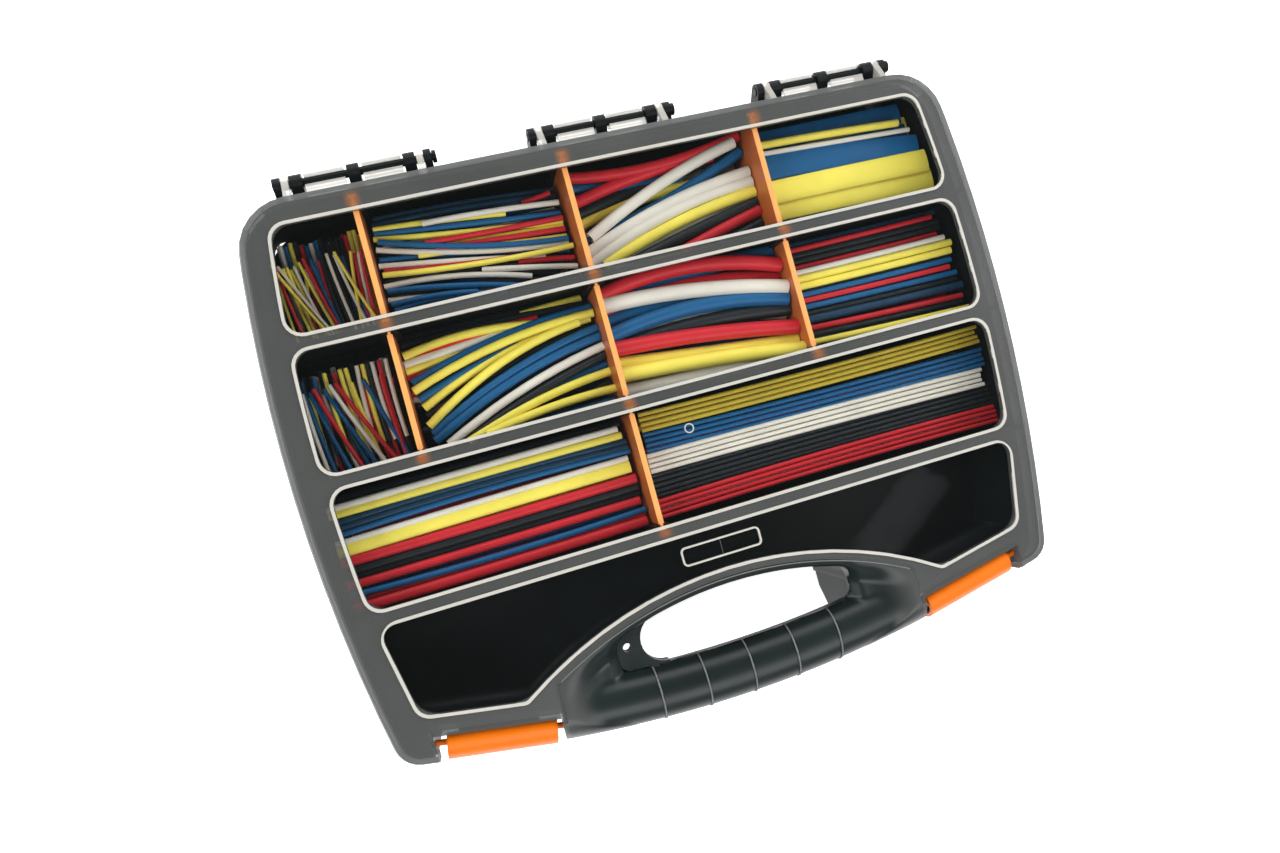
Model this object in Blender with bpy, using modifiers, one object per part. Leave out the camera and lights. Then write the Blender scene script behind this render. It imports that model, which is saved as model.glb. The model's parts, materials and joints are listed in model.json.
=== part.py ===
"""Compartment case with a stock of heat-shrink tubing, closed and lying flat.

Metres, +Z up. X runs along the hinge line, the hinges are at +Y and the carrying handle at -Y. The
origin is at the middle of the underside's bounding box. Run with blender --background --python part.py
"""

import math

import bmesh
import bpy
from mathutils import Matrix, Vector

# The case in plan: a bowed body with round back corners and slanted latch corners at the front.
CASE_WIDTH = 0.394
BACK_Y = 0.1465
BULGE_Y = 0.030
SIDE_RADIUS = 0.850
BACK_CORNER_RADIUS = 0.027
FRONT_CORNER_RADIUS = 0.014
ROOT_X = 0.104
ROOT_Y = -0.1505
HANDLE_FRONT_Y = -0.1588
LATCH_SLANT = math.radians(10.4)

# The case in height.
CASE_HEIGHT = 0.060
PARTING_Z = 0.046
PARTING_GAP = 0.0004
LID_WALL = 0.0022
LID_EDGE_ROUND = 0.0045
TRAY_SETBACK = 0.0012
TRAY_WALL = 0.0024
TRAY_EDGE_ROUND = 0.005
TOUCH_GAP = 0.0003

# Rows and their walls.
ROW_WALLS_Y = (0.074, 0.005, -0.064)
ROW_BACK_Y = 0.1412
ROW_WALL = 0.0020
ROW_WALL_TOP = 0.0565
ROW_WALL_ROOT = 0.010
VOID_SETBACK = 0.0060
VOID_CORNER = 0.010

# Windows in the lid, each with a raised bead round it.
FRAME_WIDTH = 0.0160
WINDOW_BACK_Y = 0.1323
BAR_HALF = 0.0034
WINDOW_ROUND = 0.0085
BEAD_WIDTH = 0.0016
BEAD_HEIGHT = 0.0008
LABEL_CENTRE = (0.0, -0.0785)
LABEL_SIZE = (0.0436, 0.0100)
LABEL_ROUND = 0.0025

# The handle: a grip half on each shell, round a finger opening.
OPENING_HALF = 0.066
OPENING_TOP_Y = -0.098
OPENING_TOP_RADIUS = 0.205
GRIP_WIDTH = 0.028
GRIP_TOP = 0.0120
GRIP_DEPTH = 0.0240
GRIP_WALL = 0.0030
GRIP_BAND_Y = -0.118
GRIP_OVERRUN = 0.010
CREASE_OUT = 0.0032
DISH_REACH = 0.013
DISH_DEPTH = 0.0065
GAP_DEPTH = 0.0150
DISH_FROM = 0.073
DISH_TO = 0.099
SOFTEN = 0.0020
UNDERCUT_BACK_Y = -0.126
UNDERCUT_RISE = 0.020
OPENING_END_ROUND = 0.0085
GRIP_RINGS = 5
RING_PITCH = 0.025
RING_WIDTH = 0.0012
RING_HEIGHT = 0.0006
PADLOCK_FLANGE = 0.0030
PADLOCK_CENTRE = (-0.0600, -0.1160)
PADLOCK_RADIUS = 0.0023
FLANGE_BITE_CENTRE = (-0.0400, -0.1160)
FLANGE_BITE_RADIUS = 0.0125

# Hinges, each on one moulded pin.
HINGE_XS = (-0.130, 0.0, 0.130)
HINGE_HALF = 0.0395
PIN_Y = 0.1550
PIN_RADIUS = 0.0021
PIN_HEAD_RADIUS = 0.0032
PIN_HEAD = 0.0020
PIN_CLEARANCE = 0.0004
KNUCKLE_RADIUS = 0.0044
OUTER_LUG = 0.0038
LID_LUG = 0.0034
INNER_LUG = 0.0060
MIDDLE_LUG = 0.0060
LUG_GAP = 0.0005
LUG_DROP = 0.022
CLIP_LEG = 0.0016

# Dividers that slide into tee slots.
SLOT_PITCH = 0.0534
DIVIDER_THICKNESS = 0.0028
DIVIDER_TOP = 0.0562
DIVIDER_END_GAP = 0.0006
TONGUE = 0.0014
TEE_WIDTH = 0.0042
TEE_DEPTH = 0.0014
SLOT_CLEARANCE = 0.0004
SLOT_LIP = 0.0014
SLOT_BLOCK_WIDTH = 0.0086

# Latches, each on two stub pins in the lid's pocket.
POCKET_INNER_X = 0.1018
POCKET_OUTER_X = 0.1630
POCKET_BACK_AT = (0.157, -0.1268)
POCKET_WALL = 0.0020
LATCH_LENGTH = 0.0540
LATCH_INNER_GAP = 0.0020
LATCH_THICKNESS = 0.0020
LATCH_BARREL = 0.0042
LATCH_REACH = 0.0155
LATCH_TOP_Z = 0.0572
LATCH_BOTTOM_Z = 0.0240
LATCH_BACK_GAP = 0.0008
LATCH_CURL = 0.0122
LATCH_FLARE = 0.0020
LATCH_FLARE_HEIGHT = 0.0080
HOOK_GAP = 0.0012
HOOK_REACH = 0.0022
HOOK_HEIGHT = 0.0035
STUB_RADIUS = 0.0015
STUB_IN_SOCKET = 0.0012
SOCKET_SPARE = 0.0005
CATCH_Z = 0.0380
CATCH_HEIGHT = 0.0024
CATCH_LENGTH = 0.0400

# Tubing: (row, first slot, last slot, top of the heap). Slots count from the left wall to the right.
SIDE_MARGIN = 0.0036
ROW_MARGIN = 0.0065
HEAP_FLOOR_GAP = 0.0003
HEAP_ROUND = 0.004
FLOOR = 0.0024
DIVIDER_SLOTS = ((-2.5, -0.5, 1.5), (-2.5, -0.5, 1.5), (-0.5,))
HEAP_TOPS = ((0.030, 0.038, 0.041, 0.0425), (0.030, 0.040, 0.050, 0.0425), (0.040, 0.040))

# Arcs, how far a cutter reaches past what it cuts, and a reach beyond the whole case.
ARC_STEP = math.radians(15)
FLAT_ANGLE = math.radians(0.1)
LAP = 0.001
FAR = 0.1

COLOURS = {
    "smoky": ((0.10, 0.11, 0.11), 0.35),
    "black": ((0.010, 0.012, 0.013), 0.45),
    "orange": ((0.85, 0.20, 0.02), 0.40),
    "orange_clear": ((0.80, 0.28, 0.07), 0.45),
    "tubing": ((0.75, 0.60, 0.12), 0.50),
}


# ---------------------------------------------------------------- scene and shared shapes


def clear_scene():
    for thing in list(bpy.data.objects):
        bpy.data.objects.remove(thing, do_unlink=True)


def new_collection(name, parent):
    made = bpy.data.collections.new(name)
    parent.children.link(made)
    return made


clear_scene()
CASE = new_collection("tubing_case", bpy.context.scene.collection)
CUTTERS = new_collection("cutters", bpy.context.scene.collection)
CUTTERS.hide_render = True


def material(name):
    if name in bpy.data.materials:
        return bpy.data.materials[name]
    colour, roughness = COLOURS[name]
    made = bpy.data.materials.new(name)
    made.use_nodes = True
    shader = made.node_tree.nodes["Principled BSDF"]
    shader.inputs["Base Color"].default_value = (*colour, 1)
    shader.inputs["Roughness"].default_value = roughness
    shader.inputs["Metallic"].default_value = 0
    return made


def adopt(thing, collection):
    """Moves an object into one collection; a helper is hidden from renders."""
    for old in thing.users_collection:
        old.objects.unlink(thing)
    collection.objects.link(thing)
    if collection is CUTTERS:
        thing.hide_render = True
        thing.display_type = "WIRE"
    return thing


def finish_piece(thing, finish):
    """Puts a finished piece in the case's collection with its material."""
    adopt(thing, CASE)
    thing.hide_render = False
    thing.display_type = "TEXTURED"
    thing.data.materials.clear()
    thing.data.materials.append(material(finish))
    return thing


def plate(name, outlines, bottom, top):
    """A flat solid between two heights. The first outline is its edge and the others are holes."""
    flat = bpy.data.curves.new(name, "CURVE")
    flat.dimensions = "2D"
    flat.fill_mode = "BOTH"
    flat.extrude = (top - bottom) / 2
    for outline in outlines:
        spline = flat.splines.new("POLY")
        spline.points.add(len(outline) - 1)
        for point, (x, y) in zip(spline.points, outline):
            point.co = (x, y, 0, 1)
        spline.use_cyclic_u = True
    guide = bpy.data.objects.new(name, flat)
    CUTTERS.objects.link(guide)
    graph = bpy.context.evaluated_depsgraph_get()
    mesh = bpy.data.meshes.new_from_object(guide.evaluated_get(graph))
    bpy.data.objects.remove(guide, do_unlink=True)
    work = bmesh.new()
    work.from_mesh(mesh)
    bmesh.ops.remove_doubles(work, verts=work.verts, dist=0.00002)
    bmesh.ops.dissolve_limit(work, angle_limit=FLAT_ANGLE, verts=work.verts, edges=work.edges)
    bmesh.ops.translate(work, verts=work.verts, vec=(0, 0, (top + bottom) / 2))
    bmesh.ops.recalc_face_normals(work, faces=work.faces)
    work.to_mesh(mesh)
    work.free()
    made = bpy.data.objects.new(name, mesh)
    return adopt(made, CUTTERS)


def bar(name, outline, start, end):
    """A (y, z) outline run along X from start to end."""
    made = plate(name, [outline], start, end)
    made.data.transform(Matrix(((0, 0, 1, 0), (1, 0, 0, 0), (0, 1, 0, 0), (0, 0, 0, 1))))
    return made


def box(name, low, high):
    corners = [(low[0], low[1]), (high[0], low[1]), (high[0], high[1]), (low[0], high[1])]
    return plate(name, [corners], low[2], high[2])


def rod(name, radius, start, end, sides=20):
    """A cylinder between two points."""
    start = Vector(start)
    end = Vector(end)
    along = end - start
    mesh = bpy.data.meshes.new(name)
    work = bmesh.new()
    bmesh.ops.create_cone(
        work, cap_ends=True, segments=sides, radius1=radius, radius2=radius, depth=along.length
    )
    turn = along.to_track_quat("Z", "X").to_matrix().to_4x4()
    bmesh.ops.transform(work, matrix=Matrix.Translation((start + end) / 2) @ turn, verts=work.verts)
    work.to_mesh(mesh)
    work.free()
    return adopt(bpy.data.objects.new(name, mesh), CUTTERS)


def gathered(name, tools):
    """Several helpers that don't touch, joined into one."""
    work = bmesh.new()
    for tool in tools:
        work.from_mesh(tool.data)
        bpy.data.objects.remove(tool, do_unlink=True)
    mesh = bpy.data.meshes.new(name)
    work.to_mesh(mesh)
    work.free()
    return adopt(bpy.data.objects.new(name, mesh), CUTTERS)


def combine(target, tool, operation):
    step = target.modifiers.new(tool.name, "BOOLEAN")
    step.operation = operation
    step.object = tool
    step.solver = "EXACT"


def add(target, *tools):
    for tool in tools:
        combine(target, tool, "UNION")


def cut(target, *tools):
    for tool in tools:
        combine(target, tool, "DIFFERENCE")


def round_edges(target, width, keep):
    """Rounds the edges whose two ends satisfy keep."""
    mesh = target.data
    weights = mesh.attributes.new("bevel_weight_edge", "FLOAT", "EDGE")
    for edge in mesh.edges:
        ends = [mesh.vertices[i].co for i in edge.vertices]
        weights.data[edge.index].value = 1.0 if all(keep(end) for end in ends) else 0.0
    rounding = target.modifiers.new("rounding", "BEVEL")
    rounding.limit_method = "WEIGHT"
    rounding.width = width
    rounding.segments = 2


# ---------------------------------------------------------------- outlines


def filleted(corners):
    """A closed outline from (x, y, radius) corners, anticlockwise, with each radius as an arc."""
    points = []
    for i, (x, y, radius) in enumerate(corners):
        here = Vector((x, y))
        if not radius:
            points.append((x, y))
            continue
        back = (Vector(corners[i - 1][:2]) - here).normalized()
        ahead = (Vector(corners[(i + 1) % len(corners)][:2]) - here).normalized()
        half = back.angle(ahead) / 2
        reach = radius / math.tan(half)
        centre = here + (back + ahead).normalized() * radius / math.sin(half)
        first = here + back * reach - centre
        turn = -first.angle_signed(here + ahead * reach - centre)
        steps = max(1, round(abs(turn) / ARC_STEP))
        for step in range(steps + 1):
            spot = centre + Matrix.Rotation(turn * step / steps, 2) @ first
            points.append((spot.x, spot.y))
    return points


def grown(outline, distance):
    """A closed anticlockwise outline moved outwards, or inwards where the distance is negative."""
    points = [Vector(point) for point in outline]
    moved = []
    for i, here in enumerate(points):
        before = (here - points[i - 1]).normalized()
        after = (points[(i + 1) % len(points)] - here).normalized()
        out_before = Vector((before.y, -before.x))
        out_after = Vector((after.y, -after.x))
        between = (out_before + out_after).normalized()
        spot = here + between * distance / between.dot(out_before)
        moved.append((spot.x, spot.y))
    return moved


def circle(centre, radius, steps=20):
    turns = [2 * math.pi * i / steps for i in range(steps)]
    return [(centre[0] + radius * math.cos(t), centre[1] + radius * math.sin(t)) for t in turns]


def mirrored(outline):
    return [(-x, y) for x, y in reversed(outline)]


def side_x(y):
    """Half the case's width at this y: the sides are long shallow arcs."""
    sag = SIDE_RADIUS - math.sqrt(SIDE_RADIUS**2 - (y - BULGE_Y) ** 2)
    return CASE_WIDTH / 2 - sag


def between(start, end, steps):
    """Evenly spaced values strictly between two ends."""
    return [start + (end - start) * i / (steps + 1) for i in range(1, steps + 1)]


def handle_front(x):
    """The handle's outer edge: a shallow arc through both roots and the middle."""
    rise = ROOT_Y - HANDLE_FRONT_Y
    radius = (ROOT_X**2 + rise**2) / (2 * rise)
    return HANDLE_FRONT_Y + radius - math.sqrt(radius**2 - x**2)


def grip_inner(x):
    return handle_front(x) + GRIP_WIDTH


def opening_top(x):
    """The finger opening's upper edge, which the front window's lower edge follows."""
    return OPENING_TOP_Y - OPENING_TOP_RADIUS + math.sqrt(OPENING_TOP_RADIUS**2 - x**2)


def front_corner():
    """Where the slanted front edge, carried on, meets the side."""
    slope = math.tan(LATCH_SLANT)
    x = CASE_WIDTH / 2
    for _ in range(8):
        y = ROOT_Y + (x - ROOT_X) * slope
        x = side_x(y)
    return x, y


def case_outline():
    """The lid's outer edge, handle and all, anticlockwise from the middle of the front."""
    corner_x, corner_y = front_corner()
    right = [(x, handle_front(x), 0) for x in [0, *between(0, ROOT_X, 5), ROOT_X]]
    right.append((corner_x, corner_y, FRONT_CORNER_RADIUS))
    low_y = corner_y + 2 * FRONT_CORNER_RADIUS
    high_y = BACK_Y - 1.2 * BACK_CORNER_RADIUS
    right += [(side_x(y), y, 0) for y in [low_y, *between(low_y, high_y, 9), high_y]]
    right.append((side_x(BACK_Y), BACK_Y, BACK_CORNER_RADIUS))
    left = [(-x, y, radius) for x, y, radius in reversed(right[1:])]
    return filleted(right + left)


def row_outline(back, front, setback, radius):
    """A row between two y values, its sides following the case's side at a setback."""
    ys = between(front, back, 2)
    right = [(side_x(front) - setback, front, radius)]
    right += [(side_x(y) - setback, y, 0) for y in ys]
    right.append((side_x(back) - setback, back, radius))
    left = [(-x, y, r) for x, y, r in reversed(right)]
    return filleted(right + left)


def front_outline(back, setback, offset, radius):
    """The front compartment: its lower edge arches over the handle opening and ends in slants."""
    arch_radius = OPENING_TOP_RADIUS + offset
    arch_y = OPENING_TOP_Y + offset
    slope = math.tan(LATCH_SLANT)
    corner_x = side_x(POCKET_BACK_AT[1]) - setback
    lift = offset + POCKET_WALL
    corner_y = POCKET_BACK_AT[1] + (corner_x - POCKET_BACK_AT[0]) * slope + lift / math.cos(LATCH_SLANT)
    x = ROOT_X
    for _ in range(12):
        foot = corner_y - (corner_x - x) * slope
        x = math.sqrt(arch_radius**2 - (foot - arch_y + arch_radius) ** 2)
    arch = [(t, arch_y - arch_radius + math.sqrt(arch_radius**2 - t**2), 0) for t in between(0, x, 7)]
    right = [(0, arch_y, 0), *arch, (x, foot, radius / 2)]
    right.append((corner_x, corner_y, radius))
    right.append((side_x(back) - setback, back, radius))
    left = [(-x, y, r) for x, y, r in reversed(right[1:])]
    return filleted(right + left)


def opening_outline():
    """The finger opening: an arched slot with round ends."""
    half = OPENING_HALF
    end_round = min(OPENING_END_ROUND, 0.45 * (opening_top(half) - grip_inner(half)))
    flat = half - 1.1 * OPENING_END_ROUND
    top = [(x, opening_top(x), 0) for x in reversed(between(-flat, flat, 7))]
    low = [(x, grip_inner(x), 0) for x in between(-flat, flat, 5)]
    right = [(half, grip_inner(half), end_round), (half, opening_top(half), end_round)]
    left = [(-x, y, radius) for x, y, radius in reversed(right)]
    return filleted(low + right + top + left)


def pocket_line(x):
    """The y of the latch pocket's back wall."""
    return POCKET_BACK_AT[1] + (x - POCKET_BACK_AT[0]) * math.tan(LATCH_SLANT)


def pocket_outline(spread):
    """The latch pocket at +X, open to the front; spread widens it."""
    low = -0.2
    inner = POCKET_INNER_X - spread
    outer = POCKET_OUTER_X + spread
    lift = spread / math.cos(LATCH_SLANT)
    return [
        (inner, low),
        (outer, low),
        (outer, pocket_line(outer) + lift),
        (inner, pocket_line(inner) + lift),
    ]


WINDOWS = [
    row_outline(WINDOW_BACK_Y, ROW_WALLS_Y[0] + BAR_HALF, FRAME_WIDTH, WINDOW_ROUND),
    row_outline(ROW_WALLS_Y[0] - BAR_HALF, ROW_WALLS_Y[1] + BAR_HALF, FRAME_WIDTH, WINDOW_ROUND),
    row_outline(ROW_WALLS_Y[1] - BAR_HALF, ROW_WALLS_Y[2] + BAR_HALF, FRAME_WIDTH, WINDOW_ROUND),
    front_outline(ROW_WALLS_Y[2] - BAR_HALF, FRAME_WIDTH, 0.0080, WINDOW_ROUND),
]


# ---------------------------------------------------------------- pieces both shells share


def sides(build):
    """Makes a +X helper and its mirror image at -X."""
    made = []
    for name, flip in (("right", False), ("left", True)):
        made.append(build(name, mirrored if flip else list))
    return made


def opening_cutter():
    return plate("finger_opening", [opening_outline()], -FAR, FAR)


def grip_band(name, bottom, top):
    """The stretch of both shells that the round grip takes the place of."""
    half = OPENING_HALF + LAP
    return box(name, (-half, -FAR * 2, bottom), (half, GRIP_BAND_Y, top))


def grip_profile(height, wall, seat):
    """Half an oval tube in (across, up): the open side lies at the seat."""
    turns = [math.pi * i / 10 for i in range(11)]
    half = GRIP_WIDTH / 2
    outer = [(half * math.cos(t), seat + (height - seat) * math.sin(t)) for t in turns]
    inner = [((half - wall) * math.cos(t), seat + (height - wall - seat) * math.sin(t)) for t in turns]
    return outer + inner[::-1]


def swept(name, profile, xs):
    """An (across, up) profile carried along the grip's middle line through these x values."""
    mesh = bpy.data.meshes.new(name)
    work = bmesh.new()
    rings = []
    for x in xs:
        y = handle_front(x) + GRIP_WIDTH / 2
        rings.append([work.verts.new((x, y + across, PARTING_Z + up)) for across, up in profile])
    count = len(profile)
    for first, second in zip(rings, rings[1:]):
        for i in range(count):
            j = (i + 1) % count
            work.faces.new((first[i], first[j], second[j], second[i]))
    work.faces.new(rings[0])
    work.faces.new(rings[-1])
    bmesh.ops.recalc_face_normals(work, faces=work.faces)
    work.to_mesh(mesh)
    work.free()
    return adopt(bpy.data.objects.new(name, mesh), CUTTERS)


def grip_xs():
    reach = OPENING_HALF + GRIP_OVERRUN
    return [-reach, *between(-reach, reach, 9), reach]


def eased(value, start, end):
    """0 before the start, 1 after the end, smooth between."""
    share = min(1, max(0, (value - start) / (end - start)))
    return share * share * (3 - 2 * share)


def handle_top(x, y):
    """The lid's height over the handle: a round grip that flares into dished roots."""
    opened = 1 - eased(abs(x), DISH_FROM, DISH_TO)
    seat = PARTING_Z + PARTING_GAP
    from_front = (y - handle_front(x)) / (GRIP_WIDTH / 2)
    swell = math.sqrt(max(0, 1 - (from_front - 1) ** 2))
    grip = seat + (GRIP_TOP - PARTING_GAP) * swell
    full = CASE_HEIGHT + TOUCH_GAP - seat
    edge = seat + (full + (GRIP_TOP - PARTING_GAP - full) * opened) * (swell if from_front < 1 else 1)
    depth = GAP_DEPTH + (DISH_DEPTH - GAP_DEPTH) * eased(abs(x), OPENING_HALF - 0.006, OPENING_HALF + 0.006)
    shelf = CASE_HEIGHT + TOUCH_GAP - depth * opened * eased(opening_top(x) + CREASE_OUT - y, 0, DISH_REACH)
    shelf = min(shelf, edge) if from_front < 1 else shelf
    blend = max(SOFTEN - abs(grip - shelf), 0) / SOFTEN
    return max(max(grip, shelf) + blend * blend * SOFTEN / 4, seat + TOUCH_GAP)


def handle_air():
    """Everything above the handle's outer surface, as one cutter."""
    half = POCKET_INNER_X + LAP
    xs = [-half, *between(-half, half, 46), half]
    mesh = bpy.data.meshes.new("handle_air")
    work = bmesh.new()
    rows = []
    for x in xs:
        front = handle_front(x)
        back = opening_top(x) + CREASE_OUT + LAP
        spread = [1 - math.cos(math.pi / 2 * i / 7) for i in range(1, 8)]
        ys = [front - LAP, front - TOUCH_GAP, *[front + GRIP_WIDTH / 2 * share for share in spread]]
        middle = ys[-1]
        ys += [middle + (back - middle) * i / 10 for i in range(1, 11)]
        rows.append([work.verts.new((x, y, handle_top(x, y))) for y in ys])
    lids = [[work.verts.new((row[i].co.x, row[i].co.y, FAR)) for i in (0, -1)] for row in rows]
    for (first, second), (low, high) in zip(zip(rows, rows[1:]), zip(lids, lids[1:])):
        for i in range(len(first) - 1):
            work.faces.new((first[i], first[i + 1], second[i + 1], second[i]))
        work.faces.new((low[0], high[0], high[1], low[1]))
        work.faces.new((first[0], second[0], high[0], low[0]))
        work.faces.new((first[-1], low[1], high[1], second[-1]))
    for row, cap in ((rows[0], lids[0]), (rows[-1], lids[-1])):
        work.faces.new([*row, cap[1], cap[0]])
    bmesh.ops.recalc_face_normals(work, faces=work.faces)
    bmesh.ops.triangulate(work, faces=work.faces)
    work.to_mesh(mesh)
    work.free()
    return adopt(bpy.data.objects.new("handle_air", mesh), CUTTERS)


def handle_block(bottom, top):
    """The solid stock that the upper half of the handle is shaped from."""
    half = POCKET_INNER_X - POCKET_WALL / 2
    span = [-half, *between(-half, half, 15), half]
    front = [(x, handle_front(x) + LAP) for x in span]
    back = [(x, opening_top(x) + CREASE_OUT + 2 * LAP) for x in reversed(span)]
    return plate("handle_block", [front + back], bottom, top)


def grip_hollow():
    """The hollow along the underside of the upper grip."""
    across = GRIP_WIDTH / 2 - GRIP_WALL
    turns = [math.pi * i / 10 for i in range(11)]
    profile = [(across * math.cos(t), (GRIP_TOP - GRIP_WALL) * math.sin(t)) for t in turns]
    profile += [(-across, -LAP), (across, -LAP)]
    return swept("grip_hollow", profile, grip_xs())


def padlock_flange(name, bottom, top):
    """The plate that closes the opening's left end, with its bitten edge."""
    made = plate(name, [grown(opening_outline(), LAP)], bottom, top)
    low = bottom - LAP
    high = top + LAP
    right_of = box(name + "_keep", (FLANGE_BITE_CENTRE[0], -FAR * 2, low), (FAR, 0, high))
    bite = plate(name + "_bite", [circle(FLANGE_BITE_CENTRE, FLANGE_BITE_RADIUS, 28)], low, high)
    hole = plate(name + "_hole", [circle(PADLOCK_CENTRE, PADLOCK_RADIUS)], low, high)
    cut(made, right_of, bite, hole)
    return made


def hinge_spans():
    """Half-hinge spans along X from the middle: (start, end) of each lug, from the outer end."""
    outer = (HINGE_HALF - OUTER_LUG, HINGE_HALF)
    lid = (outer[0] - LUG_GAP - LID_LUG, outer[0] - LUG_GAP)
    inner = (lid[0] - LUG_GAP - INNER_LUG, lid[0] - LUG_GAP)
    clip = (MIDDLE_LUG / 2 + 3 * LUG_GAP, inner[0] - 2 * LUG_GAP)
    return {"outer": outer, "lid": lid, "inner": inner, "clip": clip}


def both_ways(centre, span):
    return [(centre + span[0], centre + span[1]), (centre - span[1], centre - span[0])]


# ---------------------------------------------------------------- lid


def lid_lug(span):
    """A clear lug that runs back from the lid's wall and round the pin."""
    arc = [math.radians(a) for a in range(-90, 91, 18)]
    nose = [(PIN_Y + KNUCKLE_RADIUS * math.cos(a), PARTING_Z + KNUCKLE_RADIUS * math.sin(a)) for a in arc]
    root_y = BACK_Y - LID_WALL / 2
    low = PARTING_Z + PARTING_GAP
    outline = [(root_y, low), (PIN_Y - KNUCKLE_RADIUS, low), (PIN_Y - KNUCKLE_RADIUS / 2, low - 0.004)]
    return bar("lid_lug", [*outline, *nose, (root_y, CASE_HEIGHT - LID_EDGE_ROUND)], *span)


def lid_clip(span):
    """The lid's open clip: a trough under the pin, with its mouth up, and a web to the lid."""
    hold = PIN_RADIUS + PIN_CLEARANCE
    turns = [math.radians(a) for a in range(180, 361, 20)]
    rise = PARTING_Z + 0.0035
    inner = [(PIN_Y + hold * math.cos(t), PARTING_Z + hold * math.sin(t)) for t in turns]
    outer = [
        (PIN_Y + (hold + CLIP_LEG) * math.cos(t), PARTING_Z + (hold + CLIP_LEG) * math.sin(t)) for t in turns
    ]
    root_y = BACK_Y - LID_WALL / 2
    web_low = rise - 0.0018
    front = [(root_y, rise), (root_y, web_low), (outer[0][0], web_low)]
    outline = [*front, *outer, (outer[-1][0], rise), (inner[-1][0], rise), *inner[::-1], (inner[0][0], rise)]
    return bar("lid_clip", outline, *span)


def bead(name, outline, width, height):
    edges = [grown(outline, width / 2), grown(outline, -width / 2)]
    return plate(name, edges, CASE_HEIGHT - 0.0005, CASE_HEIGHT - 0.0005 + height + 0.0005)


def grip_ring(index):
    x = (index - (GRIP_RINGS - 1) / 2) * RING_PITCH
    profile = grip_profile(GRIP_TOP, GRIP_WALL, PARTING_GAP)
    count = len(profile) // 2
    raised = [
        (across * (1 + 2 * RING_HEIGHT / GRIP_WIDTH), up * (1 + RING_HEIGHT / GRIP_TOP))
        for across, up in profile[:count]
    ]
    profile[:count] = raised
    return swept(f"grip_ring_{index}", profile, [x - RING_WIDTH / 2, x + RING_WIDTH / 2])


def latch_axis_ends(sign):
    """The latch's two ends on its pivot axis, inner end first."""
    along = Vector((math.cos(LATCH_SLANT), math.sin(LATCH_SLANT)))
    out = Vector((math.sin(LATCH_SLANT), -math.cos(LATCH_SLANT)))
    inner_x = POCKET_INNER_X + LATCH_INNER_GAP
    start = Vector((inner_x, pocket_line(inner_x))) + out * (LATCH_BACK_GAP + LATCH_BARREL)
    end = start + along * LATCH_LENGTH
    z = LATCH_TOP_Z - LATCH_BARREL
    return [Vector((sign * point.x, point.y, z)) for point in (start, end)]


def latch_stubs(name, sign, radius, into_wall):
    """The latch's stub pins as one rod that reaches into both cheeks of the pocket."""
    start, end = latch_axis_ends(sign)
    along = (end - start).normalized()
    reach_in = (abs(start.x) - POCKET_INNER_X + into_wall) / abs(along.x)
    reach_out = (POCKET_OUTER_X + into_wall - abs(end.x)) / abs(along.x)
    return rod(name, radius, start - along * reach_in, end + along * reach_out, 16)


def build_lid():
    outline = case_outline()
    bottom = PARTING_Z + PARTING_GAP
    lid = plate("lid", [outline], bottom, CASE_HEIGHT)
    round_edges(lid, LID_EDGE_ROUND, lambda end: end.z > CASE_HEIGHT - 0.0001)
    hollow = plate("lid_hollow", [grown(outline, -LID_WALL)], 0, CASE_HEIGHT - LID_WALL)
    round_edges(hollow, LID_EDGE_ROUND - LID_WALL / 2, lambda end: end.z > 0.01)
    cut(lid, hollow)
    lining_top = CASE_HEIGHT - LID_WALL / 2
    add(lid, plate("lid_opening_wall", [grown(opening_outline(), LID_WALL)], bottom, lining_top))
    add(lid, *sides(lambda side, turn: pocket_lining("lid_pocket_wall_" + side, turn, bottom, lining_top)))
    add(lid, handle_block(bottom, lining_top))
    cut(lid, handle_air(), opening_cutter())
    cut(lid, *sides(lambda side, turn: plate("lid_pocket_" + side, [turn(pocket_outline(0))], 0, FAR)))
    add(lid, *[grip_ring(index) for index in range(GRIP_RINGS)])
    cut(lid, grip_hollow())
    add(lid, padlock_flange("lid_flange", bottom, bottom + PADLOCK_FLANGE))
    add(lid, *[bead(f"window_bead_{i}", window, BEAD_WIDTH, BEAD_HEIGHT) for i, window in enumerate(WINDOWS)])
    add(lid, bead("label_bead", label_outline(), BEAD_WIDTH * 0.6, BEAD_HEIGHT))
    spans = hinge_spans()
    lugs = [lid_lug(span) for centre in HINGE_XS for span in both_ways(centre, spans["lid"])]
    clips = [lid_clip(span) for centre in HINGE_XS for span in both_ways(centre, spans["clip"])]
    add(lid, gathered("lid_lugs", lugs), gathered("lid_clips", clips))
    cut(lid, pin_bore("lid_pin_bore"))
    for sign in (1, -1):
        cut(lid, latch_stubs(f"socket_{sign}", sign, STUB_RADIUS + TOUCH_GAP, STUB_IN_SOCKET + SOCKET_SPARE))
    return finish_piece(lid, "smoky")


def label_outline():
    width, depth = LABEL_SIZE
    x, y = LABEL_CENTRE
    low_x, high_x, low_y, high_y = x - width / 2, x + width / 2, y - depth / 2, y + depth / 2
    return filleted(
        [
            (low_x, low_y, LABEL_ROUND),
            (high_x, low_y, LABEL_ROUND),
            (high_x, high_y, LABEL_ROUND),
            (low_x, high_y, LABEL_ROUND),
        ]
    )


def pocket_lining(name, turn, bottom, top):
    """The walls round a latch pocket, kept inside the case's edge."""
    lining = plate(name, [turn(pocket_outline(POCKET_WALL))], bottom, top)
    keep = plate(name + "_keep", [grown(case_outline(), -LID_WALL / 2)], 0, FAR)
    combine(lining, keep, "INTERSECT")
    return lining


def pin_bore(name):
    reach = HINGE_XS[-1] + HINGE_HALF + 0.02
    return rod(name, PIN_RADIUS + PIN_CLEARANCE, (-reach, PIN_Y, PARTING_Z), (reach, PIN_Y, PARTING_Z))


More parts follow.
